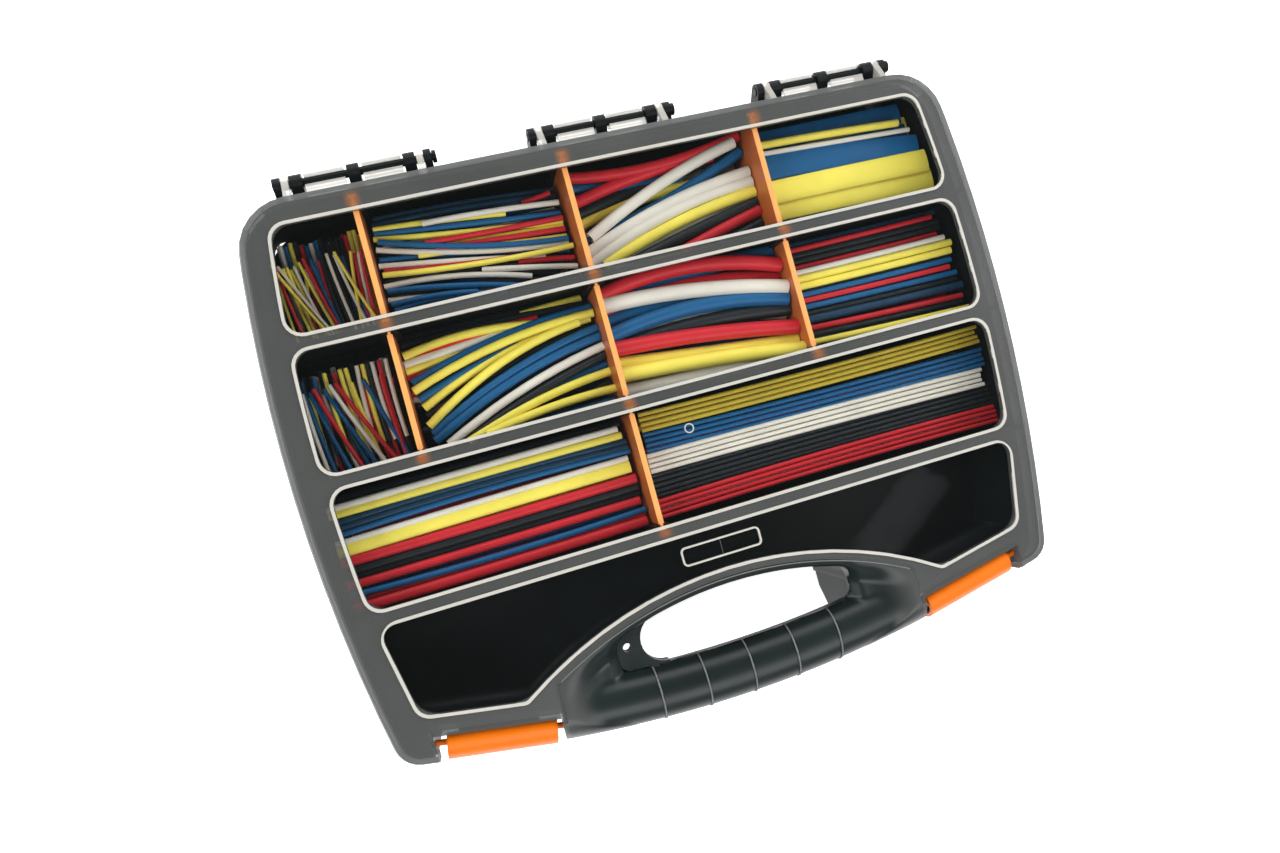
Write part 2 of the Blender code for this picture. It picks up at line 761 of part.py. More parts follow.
# ---------------------------------------------------------------- base tray


def tray_lug(span):
    """A black gusset lug from the tray's back wall up to the pin."""
    arc = [math.radians(a) for a in range(-30, 151, 20)]
    nose = [(PIN_Y + KNUCKLE_RADIUS * math.cos(a), PARTING_Z + KNUCKLE_RADIUS * math.sin(a)) for a in arc]
    root_y = BACK_Y - TRAY_SETBACK - TRAY_WALL / 2
    shoulder_y = BACK_Y + TOUCH_GAP
    top = PARTING_Z - PARTING_GAP
    return bar("tray_lug", [(root_y, PARTING_Z - LUG_DROP), *nose, (shoulder_y, top), (root_y, top)], *span)


def slot_places():
    """Each divider as (row, slot number, x)."""
    for row, slots in enumerate(DIVIDER_SLOTS):
        for slot in slots:
            yield row, slot, slot * SLOT_PITCH


def row_limits(row):
    """The inner faces (front, back) of a row."""
    backs = (ROW_BACK_Y, ROW_WALLS_Y[0] - ROW_WALL / 2, ROW_WALLS_Y[1] - ROW_WALL / 2)
    return ROW_WALLS_Y[row] + ROW_WALL / 2, backs[row]


def slot_depth():
    return TEE_DEPTH + 2 * SLOT_CLEARANCE + SLOT_LIP


def slot_posts(x, face, way):
    """The two hooked posts that hold a tee head at x, as outlines; way is +1 towards +Y."""
    root = face - way * ROW_WALL / 3
    lip = face + way * (TEE_DEPTH + 2 * SLOT_CLEARANCE)
    far = face + way * slot_depth()
    wide = TEE_WIDTH / 2 + SLOT_CLEARANCE
    narrow = TONGUE / 2 + SLOT_CLEARANCE
    half = SLOT_BLOCK_WIDTH / 2
    post = [(wide, root), (half, root), (half, far), (narrow, far), (narrow, lip), (wide, lip)]
    return [[(x + a, b) for a, b in post], [(x - a, b) for a, b in post]]


def root_hollow(name, turn):
    """The hollow under a handle root, open below."""
    wall = TRAY_WALL
    inner = OPENING_HALF + GRIP_OVERRUN + wall
    outer = POCKET_INNER_X - TRAY_SETBACK - wall
    span = [inner, *between(inner, outer, 2), outer]
    lower = [(x, handle_front(x) + TRAY_SETBACK + wall) for x in span]
    upper = [(x, opening_top(x) - wall) for x in reversed(span)]
    return plate(name, [turn(lower + upper)], -FAR, PARTING_Z - TRAY_WALL)


def handle_undercut():
    """The slope that lifts the handle's roots clear of the ground."""
    reach = POCKET_INNER_X
    front = HANDLE_FRONT_Y - LAP
    slope = [(front, -LAP), (UNDERCUT_BACK_Y, -LAP), (front, UNDERCUT_RISE)]
    return bar("handle_undercut", slope, -reach, reach)


def catch_rib(name, turn):
    """The ledge on the tray that the latch snaps over."""
    middle = (POCKET_INNER_X + POCKET_OUTER_X) / 2
    half = CATCH_LENGTH / 2
    reach = LATCH_REACH - LATCH_THICKNESS - 0.0030
    spots = [(middle - half, -reach), (middle + half, -reach), (middle + half, 0.003), (middle - half, 0.003)]
    outline = [(x, pocket_line(x) + offset) for x, offset in spots]
    return plate(name, [turn(outline)], CATCH_Z, CATCH_Z + CATCH_HEIGHT)


def build_tray():
    outline = grown(case_outline(), -TRAY_SETBACK)
    tray = plate("base_tray", [outline], 0, PARTING_Z)
    round_edges(tray, TRAY_EDGE_ROUND, lambda end: end.z < 0.0001)
    cut(tray, handle_undercut())
    for row in range(3):
        front, back = row_limits(row)
        hollow = row_outline(back, front, VOID_SETBACK, VOID_CORNER)
        cut(tray, plate(f"row_{row + 1}_hollow", [hollow], FLOOR, FAR))
    front_hollow = front_outline(ROW_WALLS_Y[2] - ROW_WALL / 2, VOID_SETBACK, TRAY_WALL, VOID_CORNER)
    cut(tray, plate("front_hollow", [front_hollow], FLOOR, FAR))
    for i, y in enumerate(ROW_WALLS_Y):
        half = side_x(y) - LID_WALL - 2 * TRAY_SETBACK
        low = PARTING_Z - ROW_WALL_ROOT
        corner = (half, y + ROW_WALL / 2, ROW_WALL_TOP)
        add(tray, box(f"row_wall_{i + 1}", (-half, y - ROW_WALL / 2, low), corner))
    posts = []
    for row, slot, x in slot_places():
        front, back = row_limits(row)
        posts += slot_posts(x, front, 1) + slot_posts(x, back, -1)
    add(tray, plate("slot_posts", posts, FLOOR / 2, ROW_WALL_TOP - TOUCH_GAP))
    cut(tray, grip_band("tray_grip_band", -FAR, FAR), opening_cutter())
    pocket = pocket_outline(TRAY_SETBACK)
    cut(tray, *sides(lambda side, turn: plate("tray_pocket_" + side, [turn(pocket)], -FAR, FAR)))
    cut(tray, *sides(lambda side, turn: root_hollow("root_hollow_" + side, turn)))
    add(tray, swept("lower_grip", lower_grip_profile(), grip_xs()))
    add(tray, padlock_flange("tray_flange", PARTING_Z - PADLOCK_FLANGE, PARTING_Z - TOUCH_GAP))
    add(tray, *sides(lambda side, turn: catch_rib("catch_" + side, turn)))
    spans = hinge_spans()
    lugs = []
    for centre in HINGE_XS:
        lugs += both_ways(centre, spans["outer"]) + both_ways(centre, spans["inner"])
        lugs.append((centre - MIDDLE_LUG / 2, centre + MIDDLE_LUG / 2))
    add(tray, gathered("tray_lugs", [tray_lug(span) for span in lugs]))
    cut(tray, pin_bore("tray_pin_bore"))
    return finish_piece(tray, "black")


def lower_grip_profile():
    inset = TRAY_SETBACK / 2
    profile = grip_profile(GRIP_DEPTH, GRIP_WALL, 0)
    share = 1 - 2 * inset / GRIP_WIDTH
    return [(across * share, -up - TOUCH_GAP) for across, up in profile]


# ---------------------------------------------------------------- small pieces


def build_divider(row, slot, x):
    """A plate with a narrow tongue and a tee head at each end."""
    front, back = row_limits(row)
    tee = TEE_WIDTH / 2
    neck = TONGUE / 2
    half = DIVIDER_THICKNESS / 2
    outline = []
    for face, way in ((front, 1), (back, -1)):
        head = face + way * SLOT_CLEARANCE
        throat = head + way * TEE_DEPTH
        body = face + way * (slot_depth() + DIVIDER_END_GAP)
        rising = [(tee, head), (tee, throat), (neck, throat), (neck, body), (half, body)]
        end = [(-a, b) for a, b in reversed(rising)] + rising
        outline += [(x + way * a, b) for a, b in end]
    letter = "abc"[DIVIDER_SLOTS[row].index(slot)]
    divider = plate(f"divider_row{row + 1}_{letter}", [outline], FLOOR + HEAP_FLOOR_GAP, DIVIDER_TOP)
    return finish_piece(divider, "orange_clear")


def latch_profile():
    """The latch's section in (out from the pivot, up from the pivot)."""
    barrel = LATCH_BARREL
    front = LATCH_REACH - barrel - LATCH_BACK_GAP
    bottom = LATCH_BOTTOM_Z - LATCH_TOP_Z + barrel
    inside = front - LATCH_THICKNESS
    heart = barrel - LATCH_CURL
    back = [math.radians(a) for a in range(255, 89, -15)]
    sweep = [math.radians(a) for a in range(75, -1, -15)]
    outer = [(barrel * math.cos(a), barrel * math.sin(a)) for a in back]
    outer += [(front * math.cos(a), heart + LATCH_CURL * math.sin(a)) for a in sweep]
    outer += [(front, bottom + LATCH_FLARE_HEIGHT), (front + LATCH_FLARE, bottom)]
    inner = [(inside + LATCH_FLARE, bottom), (inside, bottom + LATCH_FLARE_HEIGHT)]
    hook_z = CATCH_Z - LATCH_TOP_Z + barrel - HOOK_GAP
    tip = inside - HOOK_REACH
    inner += [(inside, hook_z - HOOK_HEIGHT), (tip, hook_z - HOOK_HEIGHT / 3)]
    inner += [(tip, hook_z), (inside, hook_z)]
    rise = LATCH_CURL - LATCH_THICKNESS
    inner += [(inside * math.cos(a), heart + rise * math.sin(a)) for a in reversed(sweep[1:])]
    inner += [(barrel * 0.60, barrel * 0.30), (barrel * 0.5, -barrel * 0.75)]
    return outer + inner


def build_latch(name, sign):
    start, end = latch_axis_ends(sign)
    if sign < 0:
        start, end = end, start
    length = (end - start).length
    latch = plate(name, [latch_profile()], 0, length)
    along = (end - start).normalized()
    up = Vector((0, 0, 1))
    out = along.cross(up)
    frame = Matrix((out, up, along)).transposed().to_4x4()
    if frame.determinant() < 0:
        frame = Matrix((out, up, -along)).transposed().to_4x4()
        start = end
    latch.data.transform(Matrix.Translation(start) @ frame)
    add(latch, latch_stubs(name + "_stubs", sign, STUB_RADIUS, STUB_IN_SOCKET))
    return finish_piece(latch, "orange")


def build_hinge_pin(name, centre):
    """A moulded pin pushed in from +X up to its head."""
    reach = HINGE_HALF + PIN_CLEARANCE
    shank = (centre - reach, centre + reach + PIN_HEAD / 2)
    head = (centre + reach, centre + reach + PIN_HEAD)
    pin = rod(name, PIN_RADIUS, *[(x, PIN_Y, PARTING_Z) for x in shank])
    add(pin, rod(name + "_head", PIN_HEAD_RADIUS, *[(x, PIN_Y, PARTING_Z) for x in head]))
    return finish_piece(pin, "black")


def build_heap(row, place, top):
    """The tubing in one compartment as one plain heap."""
    xs = [slot * SLOT_PITCH for slot in DIVIDER_SLOTS[row]]
    front, back = row_limits(row)
    wall = min(side_x(front), side_x(back)) - VOID_SETBACK
    gap = DIVIDER_THICKNESS / 2 + SIDE_MARGIN / 2
    edges = [-wall + SIDE_MARGIN - gap, *xs, wall - SIDE_MARGIN + gap]
    low = (edges[place] + gap, front + ROW_MARGIN, FLOOR + HEAP_FLOOR_GAP)
    high = (edges[place + 1] - gap, back - ROW_MARGIN, top)
    heap = box(f"tubing_row{row + 1}_{'abcd'[place]}", low, high)
    round_edges(heap, HEAP_ROUND, lambda end: end.z > top - 0.0001)
    return finish_piece(heap, "tubing")


def main():
    build_tray()
    build_lid()
    for row, slot, x in slot_places():
        build_divider(row, slot, x)
    build_latch("latch_left", -1)
    build_latch("latch_right", 1)
    for name, centre in zip(("left", "centre", "right"), HINGE_XS):
        build_hinge_pin("hinge_pin_" + name, centre)
    for row, tops in enumerate(HEAP_TOPS):
        for place, top in enumerate(tops):
            build_heap(row, place, top)


main()
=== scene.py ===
"""Compartment case with a stock of heat-shrink tubing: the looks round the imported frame."""

import json
import math
import random

import bpy
from mathutils import Matrix, Vector

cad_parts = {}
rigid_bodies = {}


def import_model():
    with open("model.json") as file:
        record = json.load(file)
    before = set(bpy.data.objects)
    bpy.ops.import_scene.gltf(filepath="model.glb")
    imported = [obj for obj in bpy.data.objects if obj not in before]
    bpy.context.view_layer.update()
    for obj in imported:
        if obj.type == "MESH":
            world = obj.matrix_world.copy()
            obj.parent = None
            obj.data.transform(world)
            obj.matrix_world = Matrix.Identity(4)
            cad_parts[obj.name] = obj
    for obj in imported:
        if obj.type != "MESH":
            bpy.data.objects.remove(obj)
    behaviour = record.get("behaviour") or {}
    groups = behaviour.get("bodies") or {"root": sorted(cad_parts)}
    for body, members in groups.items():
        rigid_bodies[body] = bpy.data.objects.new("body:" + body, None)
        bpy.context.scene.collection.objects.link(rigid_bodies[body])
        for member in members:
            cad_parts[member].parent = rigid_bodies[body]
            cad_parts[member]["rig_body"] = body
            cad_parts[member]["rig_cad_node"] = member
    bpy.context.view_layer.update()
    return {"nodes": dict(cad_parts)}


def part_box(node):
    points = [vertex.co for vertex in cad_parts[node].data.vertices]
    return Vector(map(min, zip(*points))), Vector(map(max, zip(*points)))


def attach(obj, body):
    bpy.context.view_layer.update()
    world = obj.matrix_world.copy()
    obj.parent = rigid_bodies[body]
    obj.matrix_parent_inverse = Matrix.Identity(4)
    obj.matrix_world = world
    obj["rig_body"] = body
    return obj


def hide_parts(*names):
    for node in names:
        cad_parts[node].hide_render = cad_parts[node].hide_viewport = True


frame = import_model()


# ---------------------------------------------------------------- camera
# A short lens held by hand above the closed case, a little to the left of its middle, leaning
# to the right, with the case's handle towards the lower right corner of the frame.
CAMERA_AT = (-0.1076, -0.0102, 0.4879)
CAMERA_AIM = (-0.0133, -0.0071, 0.0)
CAMERA_ROLL = math.radians(-15.29)
FOCAL_MM = 23.9

looks = (Vector(CAMERA_AIM) - Vector(CAMERA_AT)).normalized()
level_right = looks.cross(Vector((0, 1, 0))).normalized()
roll = Matrix.Rotation(CAMERA_ROLL, 3, -looks)
right = (roll @ level_right).normalized()
up = right.cross(looks).normalized()
bpy.ops.object.camera_add(location=CAMERA_AT)
camera = bpy.context.object
camera.rotation_euler = Matrix((right, up, -looks)).transposed().to_euler()
camera.data.lens = FOCAL_MM
camera.data.sensor_width = 36
camera.data.clip_start = 0.01
bpy.context.scene.camera = camera


# ---------------------------------------------------------------- studio
# A plain white sweep on a bench, with walls that are white low down and large soft boxes at
# the sides, so that the flat windows mirror the dark ceiling and stay clear.
FLOOR_SIZE = 30.0
CEILING = (0.10, 0.11, 0.115)
WALL_WHITE = (0.98, 0.98, 0.98)
WALL_FADE = (0.10, 0.30)
FLOOR_GLOW = 0.85

bpy.ops.mesh.primitive_plane_add(size=FLOOR_SIZE, location=(0, 0, -0.0004))
bench = bpy.context.object
bench.name = "bench_sweep"
paper = bpy.data.materials.new("white_paper")
paper.use_nodes = True
matte = paper.node_tree.nodes["Principled BSDF"]
matte.inputs["Base Color"].default_value = (0.93, 0.93, 0.93, 1)
matte.inputs["Roughness"].default_value = 0.9
matte.inputs["Emission Color"].default_value = (1, 1, 1, 1)
matte.inputs["Emission Strength"].default_value = FLOOR_GLOW
bench.data.materials.append(paper)

world = bpy.data.worlds.new("studio")
world.use_nodes = True
sky = world.node_tree
around = sky.nodes.new("ShaderNodeTexCoord")
split = sky.nodes.new("ShaderNodeSeparateXYZ")
climb = sky.nodes.new("ShaderNodeMapRange")
climb.interpolation_type = "SMOOTHSTEP"
climb.inputs["From Min"].default_value = WALL_FADE[0]
climb.inputs["From Max"].default_value = WALL_FADE[1]
walls = sky.nodes.new("ShaderNodeMix")
walls.data_type = "RGBA"
walls.inputs[6].default_value = (*WALL_WHITE, 1)
walls.inputs[7].default_value = (*CEILING, 1)
sky.links.new(around.outputs["Generated"], split.inputs[0])
sky.links.new(split.outputs["Z"], climb.inputs["Value"])
sky.links.new(climb.outputs[0], walls.inputs[0])
sky.links.new(walls.outputs[2], sky.nodes["Background"].inputs["Color"])
bpy.context.scene.world = world
bpy.context.scene.view_settings.view_transform = "Standard"


def soft_box(name, place, aim, width, height, power):
    bpy.ops.object.light_add(type="AREA", location=place)
    lamp = bpy.context.object
    lamp.name = name
    lamp.data.shape = "RECTANGLE"
    lamp.data.size = width
    lamp.data.size_y = height
    lamp.data.energy = power
    lamp.rotation_euler = (Vector(aim) - Vector(place)).to_track_quat("-Z", "Y").to_euler()


soft_box("box_left", (-1.5, 0.2, 1.1), (0, 0, 0), 1.6, 1.2, 24)
soft_box("box_right", (1.6, 0.3, 1.1), (0, 0, 0), 1.6, 1.2, 24)
soft_box("box_back", (0.1, 1.6, 1.2), (0, 0, 0), 1.8, 1.0, 20)
soft_box("box_front", (0.15, -1.1, 1.25), (0, -0.05, 0), 1.6, 0.7, 15)
soft_box("grip_strip", (0.30, -0.56, 1.2), (0, -0.14, 0.05), 1.1, 0.08, 1.1)


# ---------------------------------------------------------------- base tray
# Injection-moulded black plastic: one shell with the floor, the row walls and their tee slots,
# the lower half of the grip, and the hinge lugs. Its skin is satin with a fine spark finish.
BLACK = (0.0075, 0.0095, 0.0100)
MERGE_WITHIN = 0.00001
FLAT_WITHIN = math.radians(0.3)
SMOOTH_UNDER = math.radians(32)
ROUND_UNDER = math.radians(50)


class Wire:
    """A shader socket that takes part in plain arithmetic."""

    def __init__(self, tree, socket):
        self.tree = tree
        self.socket = socket

    def maths(self, operation, *values):
        node = self.tree.nodes.new("ShaderNodeMath")
        node.operation = operation
        for slot, value in zip(node.inputs, values):
            if isinstance(value, Wire):
                self.tree.links.new(value.socket, slot)
            else:
                slot.default_value = value
        return Wire(self.tree, node.outputs[0])

    def __add__(self, other):
        return self.maths("ADD", self, other)

    def __sub__(self, other):
        return self.maths("SUBTRACT", self, other)

    def __mul__(self, other):
        return self.maths("MULTIPLY", self, other)


class Finish:
    """A material under construction: one call adds a node, another wires the main shader."""

    def __init__(self, name, colour, roughness, specular=0.5):
        self.made = bpy.data.materials.new(name)
        self.made.use_nodes = True
        self.tree = self.made.node_tree
        self.shader = self.tree.nodes["Principled BSDF"]
        self.set("Base Color", (*colour, 1))
        self.set("Roughness", roughness)
        self.set("Specular IOR Level", specular)

    def set(self, socket, value):
        if isinstance(value, Wire):
            self.tree.links.new(value.socket, self.shader.inputs[socket])
        else:
            self.shader.inputs[socket].default_value = value

    def node(self, kind, settings, **sockets):
        """A node of this kind; its settings come first, then its sockets' values or links."""
        made = self.tree.nodes.new(kind)
        for key, value in settings.items():
            if key == "stops":
                while len(made.color_ramp.elements) < len(value):
                    made.color_ramp.elements.new(0.5)
                for element, (place, colour) in zip(made.color_ramp.elements, value):
                    element.position = place
                    element.color = colour
            elif key != "out":
                setattr(made, key, value)
        for key, value in sockets.items():
            label = int(key[1:]) if key[1:].isdigit() else key.replace("_", " ")
            slot = made.inputs[label]
            if isinstance(value, Wire):
                self.tree.links.new(value.socket, slot)
            else:
                slot.default_value = value
        return Wire(self.tree, made.outputs[settings.get("out", 0)])

    def place(self):
        return self.node("ShaderNodeTexCoord", {"out": "Object"})

    def noise(self, scale, detail=2.0):
        return self.node("ShaderNodeTexNoise", {}, Vector=self.place(), Scale=scale, Detail=detail)

    def blend(self, factor, first, second):
        settings = {"data_type": "RGBA", "out": 2}
        return self.node("ShaderNodeMix", settings, s0=factor, s6=first, s7=second)

    def relief(self, height, strength, distance):
        return self.node("ShaderNodeBump", {}, Height=height, Strength=strength, Distance=distance)


def whole(colour, gain=1.0):
    return (colour[0] * gain, colour[1] * gain, colour[2] * gain, 1)


def only(thing):
    """Selects one object and makes it active."""
    bpy.ops.object.select_all(action="DESELECT")
    thing.select_set(True)
    bpy.context.view_layer.objects.active = thing
    return thing


def moulded_copy(node, name):
    """A merged copy of a solid, shaded smooth round its fillets."""
    only(frame["nodes"][node])
    bpy.ops.object.duplicate()
    piece = bpy.context.object
    piece.name = name
    piece.parent = None
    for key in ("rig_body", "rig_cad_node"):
        if key in piece:
            del piece[key]
    bpy.ops.object.mode_set(mode="EDIT")
    bpy.ops.mesh.select_all(action="SELECT")
    bpy.ops.mesh.remove_doubles(threshold=MERGE_WITHIN)
    bpy.ops.mesh.dissolve_limited(angle_limit=FLAT_WITHIN)
    bpy.ops.object.mode_set(mode="OBJECT")
    bpy.ops.object.shade_smooth_by_angle(angle=SMOOTH_UNDER)
    weigh = piece.modifiers.new("weigh", "WEIGHTED_NORMAL")
    weigh.keep_sharp = True
    bpy.ops.object.modifier_apply(modifier=weigh.name)
    piece.data.materials.clear()
    return piece


def black_shell(name, roughness):
    finish = Finish(name, BLACK, roughness, 0.18)
    cloud = finish.noise(38.0, 3.0)
    finish.set("Base Color", finish.blend(cloud, whole(BLACK, 0.75), whole(BLACK, 1.35)))
    finish.set("Roughness", cloud * 0.16 + (roughness - 0.08))
    finish.set("Normal", finish.relief(finish.noise(2600.0, 1.0), 0.10, 0.0001))
    return finish.made


tray = moulded_copy("base_tray", "tray_shell")
tray.data.materials.append(black_shell("black_satin", 0.42))
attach(tray, "base")
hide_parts("base_tray")


# ---------------------------------------------------------------- hinge pins
# Three moulded black pins, pushed in from the right until their heads meet the outer lugs.
pin_black = black_shell("black_pin", 0.30)
for which in ("left", "centre", "right"):
    pin = moulded_copy("hinge_pin_" + which, "pin_" + which)
    pin.data.materials.append(pin_black)
    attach(pin, "base")
    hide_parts("hinge_pin_" + which)


# ---------------------------------------------------------------- dividers
# Thin plates of clear orange plastic that slide down between the posts. Their faces are deep
# orange, and their top edges have a painted glow: lighter orange and emission near the top.
ORANGE_DEEP = (0.52, 0.135, 0.030)
ORANGE_PAINTED_GLOW = (0.95, 0.40, 0.12)
DIVIDERS = [name for name in frame["nodes"] if name.startswith("divider_")]

amber = Finish("clear_orange", ORANGE_DEEP, 0.36)
divider_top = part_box(DIVIDERS[0])[1].z
height = amber.node("ShaderNodeSeparateXYZ", {"out": "Z"}, Vector=amber.place())
# Painted glow: within the top 1.2 mm the colour turns light orange and the plate emits.
edge = amber.node(
    "ShaderNodeMapRange", {}, Value=height, s1=divider_top - 0.0012, s2=divider_top - 0.0003
)
amber.set("Base Color", amber.blend(edge, whole(ORANGE_DEEP), whole(ORANGE_PAINTED_GLOW)))
amber.set("Emission Color", amber.blend(edge, (0, 0, 0, 1), whole(ORANGE_PAINTED_GLOW)))
amber.set("Emission Strength", 0.22)
amber.set("Subsurface Weight", 0.15)
amber.set("Subsurface Radius", (0.004, 0.0015, 0.0005))
amber.set("Subsurface Scale", 1.0)
for node in DIVIDERS:
    plate = moulded_copy(node, node.replace("divider_", "partition_"))
    plate.data.materials.append(amber.made)
    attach(plate, "base")
    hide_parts(node)


# ---------------------------------------------------------------- tubing
# Heat-shrink tubing cut to length: soft polyolefin hoses with open ends, sorted by bore. The
# fine ones lie fanned, the thick ones are bowed, and the widest come pressed flat.
TUBE_COLOURS = {
    "Y": (0.98, 0.85, 0.12),
    "G": (0.62, 0.47, 0.045),
    "R": (0.62, 0.020, 0.030),
    "B": (0.008, 0.112, 0.28),
    "W": (0.80, 0.77, 0.67),
    "K": (0.013, 0.017, 0.020),
    "N": (0.008, 0.045, 0.095),
}
MM = 0.001
TUBE_WALL = 0.16


def tube_finish(letter, colour):
    finish = Finish("tubing_" + letter, colour, 0.42, 0.3)
    cloud = finish.noise(55.0, 3.0)
    finish.set("Base Color", finish.blend(cloud, whole(colour, 0.84), whole(colour, 1.12)))
    finish.set("Roughness", cloud * 0.18 + 0.32)
    finish.set("Normal", finish.relief(finish.noise(420.0, 1.0), 0.05, 0.0002))
    return finish.made


HOSES = {letter: tube_finish(letter, colour) for letter, colour in TUBE_COLOURS.items()}


def bowed(first, middle, last, steps):
    """Points on the parabola through three (x, y, z) points."""
    spots = []
    for i in range(steps + 1):
        t = i / steps
        ends = first * (1 - t) * (1 - 2 * t) + middle * 4 * t * (1 - t)
        spots.append(ends + last * t * (2 * t - 1))
    return spots


def tube(letter, first, middle, last, width, flat=1.0):
    """One open-ended hose through three points in millimetres; flat is its thickness by width."""
    ends = [Vector(point) * MM for point in (first, middle, last)]
    length = (ends[2] - ends[0]).length
    spots = bowed(*ends, 10 if length > 0.06 else 6)
    bpy.ops.curve.primitive_nurbs_path_add()
    hose = bpy.context.object
    line = hose.data
    line.splines.clear()
    spline = line.splines.new("POLY")
    spline.points.add(len(spots) - 1)
    for point, spot in zip(spline.points, spots):
        point.co = (*spot, 1)
    line.bevel_depth = width * MM / 2
    line.bevel_resolution = 3 if width < 3 else 4
    bpy.ops.object.convert(target="MESH")
    if flat != 1.0:
        bpy.ops.object.mode_set(mode="EDIT")
        bpy.ops.mesh.select_all(action="SELECT")
        bpy.ops.transform.resize(value=(1, 1, flat), center_override=ends[1])
        bpy.ops.object.mode_set(mode="OBJECT")
    wall = hose.modifiers.new("wall", "SOLIDIFY")
    wall.thickness = width * MM * TUBE_WALL * min(1.0, flat * 1.6)
    wall.offset = -1
    bpy.ops.object.modifier_apply(modifier=wall.name)
    bpy.ops.object.shade_smooth_by_angle(angle=ROUND_UNDER)
    hose.data.materials.clear()
    hose.data.materials.append(HOSES[letter])
    return hose


def pile(name, node, hoses):
    """Joins a compartment's hoses into one piece."""
    bpy.ops.object.select_all(action="DESELECT")
    for hose in hoses:
        hose.select_set(True)
    bpy.context.view_layer.objects.active = hoses[0]
    bpy.ops.object.join()
    made = bpy.context.object
    made.name = name
    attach(made, "base")
    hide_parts(node)


def strands(top, width, rows):
    """Hoses from (letter, x0, y0, ym, x1, y1, layer) rows; ym is the height of the bow's middle."""
    made = []
    for letter, x0, y0, ym, x1, y1, layer in rows:
        z = top - width / 2 - layer * width * 0.98
        made.append(tube(letter, (x0, y0, z), ((x0 + x1) / 2, ym, z + 0.25), (x1, y1, z), width))
    return made


def bed(node, width, letters, along, levels_left, seed):
    """Straight hoses that fill the compartment under the ones on show."""
    low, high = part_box(node)
    rng = random.Random(seed)
    top = high.z / MM - width * levels_left
    made = []
    cross = 1 if along == 0 else 0
    z = low.z / MM + width / 2
    shift = 0.0
    while z + width / 2 < top:
        c = low[cross] / MM + width / 2 + shift
        while c + width / 2 < high[cross] / MM:
            a = low[along] / MM + rng.uniform(0.5, 4.0)
            b = high[along] / MM - rng.uniform(0.5, 4.0)
            first = (a, c, z) if along == 0 else (c, a, z)
            last = (b, c, z) if along == 0 else (c, b, z)
            mid = tuple((p + q) / 2 for p, q in zip(first, last))
            made.append((rng.choice(letters), first, mid, last))
            c += width * 1.06
        z += width * 0.98
        shift = width * 0.5 - shift
    return [tube(letter, first, mid, last, width) for letter, first, mid, last in made]



# Row 1, from the left: fine hoses stood in a fan along the case, then three cuts of thicker ones.
def fan(top, width, back_y, front_y, rows):
    made = []
    for letter, back_x, front_x, layer in rows:
        z = top - width / 2 - layer * width
        middle = ((back_x + front_x) / 2 - 0.6, (back_y + front_y) / 2, z + 0.5)
        back = (back_x, back_y - layer, z + 1.0)
        made.append(tube(letter, back, middle, (front_x, front_y, z), width))
    return made


row1_a = fan(
    32, 1.7, 121.5, 78.5,
    [
        ("Y", -182, -180, 2), ("Y", -183, -163, 0), ("R", -181, -176, 1), ("W", -180, -161, 1),
        ("Y", -178, -172, 2), ("R", -178, -168, 3), ("Y", -176, -170, 2), ("Y", -174.5, -166, 3),
        ("W", -172.5, -164, 2), ("Y", -169.5, -159, 1), ("Y", -168, -171, 4), ("R", -167, -157, 0),
        ("R", -165, -160, 3), ("B", -163.5, -156, 1), ("B", -162, -158, 2), ("R", -160, -158, 2),
        ("K", -158, -155, 1), ("K", -156.5, -152, 2), ("W", -155, -150, 0), ("K", -153.5, -149, 2),
        ("W", -151.5, -143.5, 1), ("B", -150.5, -146, 3), ("Y", -151, -137.5, 0),
        ("B", -148, -142, 2),
        ("Y", -143, -147, 1), ("R", -141.5, -143, 2), ("W", -139.5, -141, 2), ("R", -138, -139, 1),
        ("W", -140, -145, 3), ("R", -145, -139, 4), ("K", -147, -149, 3), ("W", -168, -160, 4),
    ],
)
row1_a += bed("tubing_row1_a", 2.4, "YRBWKB", 1, 3.4, 11)
pile("hoses_1_a", "tubing_row1_a", row1_a)

row1_b = strands(
    38, 3.1,
    [
        ("Y", -129, 128, 125.5, -60, 122, 1), ("W", -104, 125, 123.8, -31, 121, 0),
        ("B", -129, 126, 120.5, -31, 116, 1), ("Y", -130, 123, 116.4, -31, 111.5, 1),
        ("B", -128, 120.5, 107.5, -31, 101, 0), ("W", -130, 117.5, 105.5, -31, 99, 1),
        ("R", -105, 115, 113.4, -31, 112.6, 0.2), ("Y", -95, 112.5, 111, -31, 109.2, 1.6),
        ("R", -100, 111.5, 109, -31, 107, 0.8), ("Y", -110, 110, 106.6, -31, 103, 1.2),
        ("B", -130, 112.6, 106, -31, 96, 2), ("W", -131, 109, 102.5, -45, 95, 1.4),
        ("R", -129, 105.5, 100.5, -50, 97.5, 1.2), ("Y", -130, 103, 98, -29.5, 96.6, 0),
        ("K", -130, 100, 97, -31, 88, 2), ("W", -131, 97.6, 95, -55, 86, 1),
        ("B", -130, 95, 90, -60, 82, 1), ("K", -129, 93, 90, -50, 84, 2),
        ("W", -80, 95, 90.5, -29.8, 85.5, 0.6), ("R", -60, 95.5, 93.5, -30, 91, 1.4),
        ("W", -131, 91, 88.6, -95, 86, 2), ("B", -130, 87.6, 87.4, -85, 84.5, 1),
        ("B", -129, 84.5, 85.8, -70, 80.5, 1.5), ("K", -110, 99, 93, -40, 84.5, 1.6),
        ("N", -129, 131, 130.4, -31, 127, 2), ("R", -50, 125.5, 126.4, -34, 128, 1),
        ("N", -128, 135, 134, -31, 131, 3), ("K", -128, 133, 132.6, -31, 129, 3),
        ("N", -129, 122, 121, -31, 119, 3), ("K", -128, 116, 113, -31, 108, 3),
        ("B", -128, 103, 101, -31, 100, 3), ("K", -128, 90, 88.5, -31, 88, 3),
    ],
)
row1_b += bed("tubing_row1_b", 4.4, "KBNKW", 0, 2.8, 12)
pile("hoses_1_b", "tubing_row1_b", row1_b)

